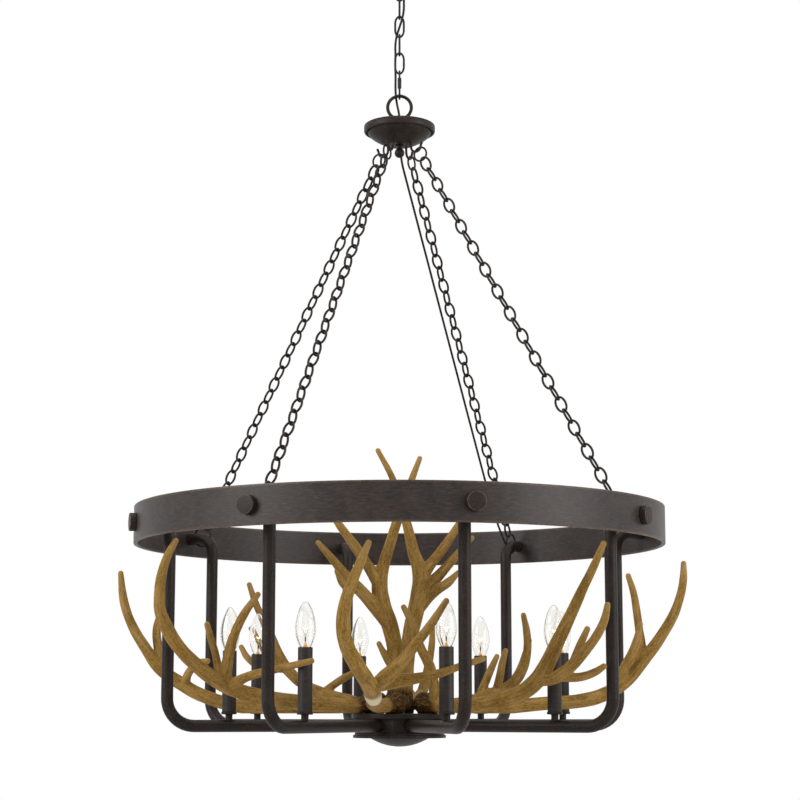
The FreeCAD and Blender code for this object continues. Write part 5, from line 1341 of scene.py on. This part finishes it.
# ------------------------------------------------------------------ candles and lamps
class CHANDELIER_OT_candles(bpy.types.Operator):
    """Cups, sleeves and sockets, one of each modelled and copied to the eight arms"""

    bl_idname = "chandelier.candles"
    bl_label = "Candles"

    def execute(self, context):
        cup_floor = ARM_RAD + 8.0
        cup = [(0, ARM_RAD - 2.6), (5.5, ARM_RAD - 2.6), (5.5, cup_floor - 0.8), (6.4, cup_floor - 0.1),
               (10.6, cup_floor), (11.6, cup_floor + 0.5), (11.9, cup_floor + 1.3), (11.9,
                                                                                     SLEEVE_FLOOR - 0.7),
               (11.4, SLEEVE_FLOOR), (0, SLEEVE_FLOOR)]
        sleeve = [(SLEEVE_BORE_RAD, SLEEVE_FLOOR), (SLEEVE_RAD - 0.3, SLEEVE_FLOOR),
                  (SLEEVE_RAD, SLEEVE_FLOOR + 0.4),
                  (SLEEVE_RAD, SLEEVE_TOP - 0.5), (SLEEVE_RAD - 0.4, SLEEVE_TOP), (SLEEVE_BORE_RAD + 0.3,
                                                                                   SLEEVE_TOP),
                  (SLEEVE_BORE_RAD, SLEEVE_TOP - 0.4)]
        socket = [(6.4, SLEEVE_TOP - 3.0), (8.6, SLEEVE_TOP - 3.0), (8.8, SLEEVE_TOP - 3.6),
                  (8.8, SLEEVE_FLOOR + 0.2),
                  (0, SLEEVE_FLOOR + 0.2), (0, SLEEVE_TOP - 24.0), (6.4, SLEEVE_TOP - 24.0)]
        self.add_group("candle_cups", "candle_cup_turnings", cup, False, "hand_rubbed_bronze",
                       "rubbed_bronze")
        self.add_group("candle_sleeves", "candle_sleeve_tubes", sleeve, True, "candle_sleeve_paint",
                       "sleeve_bronze")
        self.add_group("lamp_sockets", "lamp_socket_bodies", socket, True, "black_phenolic",
                       "socket_phenolic")
        return {"FINISHED"}

    def add_group(self, node, name, profile, closed, finish, slot):
        """Turn one piece and copy it to each candle."""
        piece = turned(name, profile, 40, closed=closed)
        smooth(piece, 35.0)
        place(piece, Matrix.Translation((CANDLE_REACH * MM, 0, 0)))
        copies = [copy_of(piece, name, lift(0) @ azimuth_matrix(azimuth)) for azimuth in ARM_AZIMUTHS]
        remove(piece)
        dress(joined(name, copies), finish_of(finish), slot, "fixture", node)


class CHANDELIER_OT_lamps(bpy.types.Operator):
    """The clear candle lamps: glass, screw cap, stem, leads and glowing filament"""

    bl_idname = "chandelier.lamps"
    bl_label = "Lamps"

    def execute(self, context):
        parts = [
            ("glass", self.glass(), "clear_lamp_glass"),
            ("cap", self.cap(), "nickel_plated_brass"),
            ("stem", self.stem(), "amber_stem_glass"),
            ("bead", self.bead(), "black_phenolic"),
            ("leads", self.leads(), "nickel_plated_brass"),
            ("filament", self.filament(), "glowing_filament"),
        ]
        for number, azimuth in enumerate(ARM_AZIMUTHS, start=1):
            node = "bulb_%d" % number
            for name, pattern, finish in parts:
                piece = copy_of(pattern, "%s_%s" % (node, name), lift(SLEEVE_TOP) @ azimuth_matrix(azimuth))
                dress(piece, finish_of(finish), "clear_glass", node)
                if name == "glass":
                    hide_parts(node)
        for name, pattern, finish in parts:
            remove(pattern)
        return {"FINISHED"}

    def at_candle(self, obj):
        """Move a lamp's piece out to the first candle."""
        return place(obj, Matrix.Translation((CANDLE_REACH * MM, 0, 0)))

    def glass(self):
        """A thin-walled torpedo with a blunt tip, its foot hidden in the sleeve."""
        top = BULB_HIGH - 0.3
        shape = [(5.8, -3.0), (8.3, 0.5), (11.4, 7.5), (14.2, 16.0), (15.4, 26.0), (14.6, 37.0), (12.2, 47.5),
                 (8.9, 56.5), (5.4, 62.8), (2.7, 65.7), (0.0, top)]
        obj = turned("glass", [(0.0, -3.0)] + shaped_profile(shape, 8), 80)
        apply_modifier(obj, "SOLIDIFY", thickness=0.6 * MM, offset=-1.0)
        smooth(obj, 60.0)
        return self.at_candle(obj)

    def cap(self):
        """The threaded cap with its insulated contact."""
        profile = [(0.0, -24.6), (2.0, -24.6), (2.6, -23.6), (4.4, -22.4), (5.4, -21.4)]
        for turn in range(5):
            base = -20.6 + turn * 3.2
            profile += [(5.5, base), (5.9, base + 0.8), (5.9, base + 1.4), (5.5, base + 2.2)]
        profile += [(5.6, -3.9), (5.4, -3.4), (0.0, -3.4)]
        obj = turned("cap", profile, 40)
        smooth(obj, 50.0)
        return self.at_candle(obj)

    def stem(self):
        """The pressed glass foot that carries the leads."""
        profile = shaped_profile([(4.2, -2.6), (3.6, 0.6), (2.4, 3.0), (1.5, 5.0), (1.2, 7.0), (0.0, 7.6)], 4)
        obj = turned("stem", [(0.0, -2.6)] + profile, 28)
        smooth(obj, 60.0)
        return self.at_candle(obj)

    def bead(self):
        """The dark rod that grips the leads above the stem."""
        profile = shaped_profile([(0.0, 7.7), (0.8, 8.2), (1.0, 10.5), (1.1, 13.2), (0.8, 14.6), (0.0, 15.0)],
                                 3)
        obj = turned("bead", profile, 20)
        smooth(obj, 60.0)
        return self.at_candle(obj)

    def leads(self):
        """Two leads that spread from the bead to the filament's ends, and a middle hook."""
        wires = []
        for side in (-1, 1):
            spots = [(0, side * 0.7, 12), (0, side * 1.2, 17), (0, side * 2.9, 22), (0, side * 3.9, 28)]
            wires.append(as_mesh(tube("lead", [Vector(spot) * MM for spot in spots], 0.28 * MM, 2)))
        wires.append(as_mesh(tube("lead",
                                  [Vector(spot) * MM for spot in ((0, 0, 14), (0.2, 0, 20), (0, 0, 26))],
                                  0.2 * MM, 2)))
        obj = joined("leads", wires)
        smooth(obj, 60.0)
        return self.at_candle(obj)

    def filament(self):
        """A fine coil hung between the leads."""
        spots = []
        turns = 20
        for index in range(turns * 8 + 1):
            share = index / (turns * 8)
            across = -3.9 + 7.8 * share
            sag = 28.0 - 2.0 * math.sin(math.pi * share)
            angle = 2 * math.pi * turns * share
            spots.append(Vector((0.5 * math.cos(angle), across, sag + 0.5 * math.sin(angle))) * MM)
        obj = as_mesh(tube("filament", spots, 0.2 * MM, 1, smooth_run=False))
        return self.at_candle(obj)


# ------------------------------------------------------------------ antlers
class Limb:
    """A limb's axis as fine samples: place, way, side way, running length and radius of each."""

    def __init__(self, spline):
        spots = []
        radii = []
        knots = spline.bezier_points
        for here, there in zip(knots[:-1], knots[1:]):
            span = geometry.interpolate_bezier(here.co, here.handle_right, there.handle_left, there.co,
                                               9)[:-1]
            for index, spot in enumerate(span):
                share = index / 8
                spots.append(spot)
                radii.append(here.radius * (1 - share) + there.radius * share)
        spots.append(knots[-1].co.copy())
        radii.append(knots[-1].radius)
        ways = [(after - before).normalized() for before, after in zip(spots[:-1], spots[1:])]
        ways.append(ways[-1])
        side = ways[0].orthogonal().normalized()
        sides = []
        run = [0.0]
        for index, way in enumerate(ways):
            side = (side - way * side.dot(way)).normalized()
            sides.append(side.copy())
            if index:
                run.append(run[-1] + (spots[index] - spots[index - 1]).length)
        self.spots = np.array([tuple(spot) for spot in spots])
        self.ways = np.array([tuple(way) for way in ways])
        self.sides = np.array([tuple(side) for side in sides])
        self.run = np.array(run)
        self.radii = np.array(radii) + TIP_GAIN * np.clip(1.0 - (run[-1] - self.run) / TIP_LONG, 0.0, 1.0)
        self.taper = np.gradient(self.radii, self.run)

    def find(self, places):
        """Keep, for every place, the sample whose round is nearest."""
        self.nearest = np.empty(len(places), int)
        for start in range(0, len(places), PLACES_AT_ONCE):
            some = slice(start, start + PLACES_AT_ONCE)
            gap = np.linalg.norm(places[some, None] - self.spots[None], axis=2) - self.radii[None]
            self.nearest[some] = gap.argmin(axis=1)

    def outside(self, places):
        """How far every place lies outside the limb, whose ends are round, and the way out of it."""
        offset = places - self.spots[self.nearest]
        way = self.ways[self.nearest]
        ahead = (offset * way).sum(axis=1)
        past_end = ((self.nearest == 0) & (ahead < 0)) | ((self.nearest == len(self.run) - 1) & (ahead > 0))
        ahead = np.where(past_end, 0.0, ahead)
        out = offset - ahead[:, None] * way
        reach = np.linalg.norm(out, axis=1)
        radius = self.radii[self.nearest] + self.taper[self.nearest] * ahead
        return reach - radius, out / np.maximum(reach, 0.01 * MM)[:, None]

    def along(self, places):
        """Every place's straightened coordinates: across, up and along the limb."""
        offset = places - self.spots[self.nearest]
        way = self.ways[self.nearest]
        side = self.sides[self.nearest]
        up = np.cross(way, side)
        return np.stack([(offset * side).sum(axis=1), (offset * up).sum(axis=1),
                         self.run[self.nearest] + (offset * way).sum(axis=1)], axis=1)


def antler_curve(name, limbs):
    """Every limb as a smooth tapering spline, in the antler's own upright plane."""
    curve = bpy.data.curves.new(name, "CURVE")
    curve.dimensions = "3D"
    curve.bevel_depth = 1.0
    curve.bevel_resolution = 5
    curve.use_fill_caps = True
    curve.resolution_u = 6
    for limb in limbs:
        spline = curve.splines.new("BEZIER")
        spline.bezier_points.add(len(limb) - 1)
        for point, (outward, sideways, height, radius) in zip(spline.bezier_points, limb):
            point.co = Vector((outward, sideways, height)) * MM
            point.radius = radius * MM
            point.handle_left_type = "AUTO"
            point.handle_right_type = "AUTO"
    obj = bpy.data.objects.new(name, curve)
    bpy.context.collection.objects.link(obj)
    bpy.context.view_layer.update()
    return obj


def with_round_tips(obj, limbs):
    """Add a ball in the end of every limb, so that its tip comes out blunt and round."""
    balls = [obj]
    for limb in limbs:
        outward, sideways, height, radius = limb[-1]
        deselect_all()
        bpy.ops.mesh.primitive_ico_sphere_add(subdivisions=2, radius=radius * MM + TIP_GAIN,
                                              location=Vector((outward, sideways, height)) * MM)
        ball = bpy.context.object
        place(ball, ball.matrix_world.copy())
        ball.matrix_world = Matrix.Identity(4)
        balls.append(ball)
    return joined(obj.name, balls)


def read_corners(mesh, what="co"):
    """Every corner's place or normal, as rows."""
    values = np.empty(len(mesh.vertices) * 3)
    mesh.vertices.foreach_get(what, values)
    return values.reshape(-1, 3)


def write_corners(mesh, places):
    """Move every corner to its place."""
    mesh.vertices.foreach_set("co", places.ravel())
    mesh.update()


def merge_limbs(obj, limbs):
    """Draw the antler's skin onto its limbs, with a soft web wherever two of them meet."""
    mesh = obj.data
    for limb in limbs:
        limb.find(read_corners(mesh))
    for smoothing in (2, 1, 0):
        places = read_corners(mesh)
        union, out = limbs[0].outside(places)
        for limb in limbs[1:]:
            other, other_out = limb.outside(places)
            # a web grows where two limbs face each other, and not behind a fork
            facing = (1.0 - (out * other_out).sum(axis=1)) / 2
            share = facing * np.clip(1.0 - np.abs(union - other) / WEB_REACH, 0.0, 1.0)
            out = np.where((other < union)[:, None], other_out, out)
            union = np.minimum(union, other) - share ** 2 * WEB_REACH / 3
        # the beam's root is a flat cut
        start = limbs[0].spots[0]
        behind = (places - start) @ limbs[0].ways[0] < ROOT_CUT
        step = np.where(behind, 0.0, np.clip(union, -LARGEST_STEP, LARGEST_STEP))
        write_corners(mesh, places - read_corners(mesh, "normal") * step[:, None])
        if smoothing:
            apply_modifier(obj, "SMOOTH", factor=0.5, iterations=smoothing)


def grain_and_relief(obj, limbs, seed, bend):
    """Carve the relief, and write what the finish reads at every corner: its straightened place and how far
    it is tip, root, ridge (paler partly as a painted highlight) or the bend's painted highlight."""
    mesh = obj.data
    places = read_corners(mesh)
    count = len(places)
    gaps = np.stack([limb.outside(places)[0] for limb in limbs])
    owner = gaps.argmin(axis=0)
    straight = np.empty((count, 3))
    left = np.empty(count)
    for number, limb in enumerate(limbs):
        own = owner == number
        straight[own] = limb.along(places)[own]
        left[own] = limb.run[-1] - straight[own, 2]
    along = straight[:, 2]
    tip = np.clip(1.0 - left / TIP_ZONE, 0.0, 1.0)
    root = np.where(owner == 0, np.clip((BURR_END - along) / BURR_FADE, 0.0, 1.0), 0.0)
    coronet = root * np.exp(-((along - CORONET_AT) / CORONET_WIDE) ** 2)
    # the bend's pale spot is a painted highlight; there the surface also swells and loses relief
    highlight_knob = np.zeros(count)
    if bend:
        highlight_knob = np.clip(1.0 - np.linalg.norm(places - np.array(bend) * MM, axis=1) / HIGHLIGHT_KNOB_ZONE, 0.0, 1.0)
    ridge_rub_and_highlight = np.empty(count)
    moved = np.empty(count)
    for index in range(count):
        across_x, across_y, run = straight[index]
        furrow = noise.noise((across_x * FURROW_ACROSS, across_y * FURROW_ACROSS, run * FURROW_ALONG + seed))
        swell = noise.noise((across_x * SWELL_ACROSS, across_y * SWELL_ACROSS, run * SWELL_ALONG + seed + 7))
        lump = noise.noise((across_x * LUMP_EACH_WAY + seed, across_y * LUMP_EACH_WAY, run * LUMP_EACH_WAY))
        fibre = noise.noise((across_x * FIBRE_ACROSS, across_y * FIBRE_ACROSS, run * FIBRE_ALONG + seed))
        body = 1.0 - max(tip[index], 0.6 * highlight_knob[index])
        # raised relief is marked for the paler colour: partly rubbing, partly a painted highlight
        ridge_rub_and_highlight[index] = 0.5 + 0.5 * furrow + 0.35 * swell
        moved[index] = MM * (body * (0.3 * furrow + 0.55 * swell) - 0.3
                             + root[index] * (1.8 * lump + 1.1 * fibre)
                             + 3.4 * coronet[index] + 1.6 * highlight_knob[index])
    places += read_corners(mesh, "normal") * moved[:, None]
    # the roots rest on the hub plate
    places[:, 2] = np.maximum(places[:, 2], ANTLER_SEAT * MM)
    write_corners(mesh, places)
    write_attribute(mesh, "straight", straight, "FLOAT_VECTOR", "vector")
    for name, values in (("tip", tip), ("root", root), ("ridge_rub_and_highlight", ridge_rub_and_highlight), ("highlight_knob", highlight_knob)):
        write_attribute(mesh, name, values)


class CHANDELIER_OT_antlers(bpy.types.Operator):
    """Ten cast antlers: tapering limbs merged on a fine grid, smoothed and given their relief"""

    bl_idname = "chandelier.antlers"
    bl_label = "Antlers"

    def execute(self, context):
        voxel = context.scene.chandelier_sizes.antler_voxel
        for number, (node, (azimuth, limbs)) in enumerate(ANTLERS.items()):
            curve = antler_curve(node + "_casting", limbs)
            samples = [Limb(spline) for spline in curve.data.splines]
            antler = with_round_tips(as_mesh(curve), limbs)
            apply_modifier(antler, "REMESH", mode="VOXEL", voxel_size=voxel)
            apply_modifier(antler, "SMOOTH", factor=0.5, iterations=6)
            merge_limbs(antler, samples)
            grain_and_relief(antler, samples, number * 3.7, HIGHLIGHT_BEND.get(node))
            place(antler, lift(0) @ azimuth_matrix(azimuth))
            smooth(antler, 180.0)
            dress(antler, finish_of("cast_antler_resin"), "antler_resin", "fixture", node)
        return {"FINISHED"}


# ------------------------------------------------------------------ panel and registration
class VIEW3D_PT_chandelier(bpy.types.Panel):
    """The chandelier's sizes, colours and making steps"""

    bl_label = "Chandelier"
    bl_idname = "VIEW3D_PT_chandelier"
    bl_space_type = "VIEW_3D"
    bl_region_type = "UI"
    bl_category = "Chandelier"

    def draw(self, context):
        scene = context.scene
        for group in (scene.chandelier_sizes, scene.chandelier_colours):
            box = self.layout.box()
            for key in group.__annotations__:
                box.prop(group, key)
        for step in STEPS:
            self.layout.operator(step.bl_idname)


STEPS = [
    CHANDELIER_OT_stage,
    CHANDELIER_OT_cords,
    CHANDELIER_OT_ceiling_hardware,
    CHANDELIER_OT_hanging_chain,
    CHANDELIER_OT_top_canopy,
    CHANDELIER_OT_support_chains,
    CHANDELIER_OT_hoop,
    CHANDELIER_OT_arms,
    CHANDELIER_OT_hub,
    CHANDELIER_OT_candles,
    CHANDELIER_OT_lamps,
    CHANDELIER_OT_antlers,
]
CLASSES = [ChandelierSizes, ChandelierColours] + STEPS + [VIEW3D_PT_chandelier]


def register():
    """Register the classes and hang the two property groups on the scene."""
    for entry in CLASSES:
        bpy.utils.register_class(entry)
    bpy.types.Scene.chandelier_sizes = bpy.props.PointerProperty(type=ChandelierSizes)
    bpy.types.Scene.chandelier_colours = bpy.props.PointerProperty(type=ChandelierColours)


def unregister():
    """Take the property groups and classes away again."""
    del bpy.types.Scene.chandelier_colours
    del bpy.types.Scene.chandelier_sizes
    for entry in reversed(CLASSES):
        bpy.utils.unregister_class(entry)


def main():
    """Make every piece in order."""
    register()
    bpy.ops.chandelier.stage()
    bpy.ops.chandelier.cords()
    bpy.ops.chandelier.ceiling_hardware()
    bpy.ops.chandelier.hanging_chain()
    bpy.ops.chandelier.top_canopy()
    bpy.ops.chandelier.support_chains()
    bpy.ops.chandelier.hoop()
    bpy.ops.chandelier.arms()
    bpy.ops.chandelier.hub()
    bpy.ops.chandelier.candles()
    bpy.ops.chandelier.lamps()
    bpy.ops.chandelier.antlers()
    deselect_all()


if __name__ == "__main__":
    main()
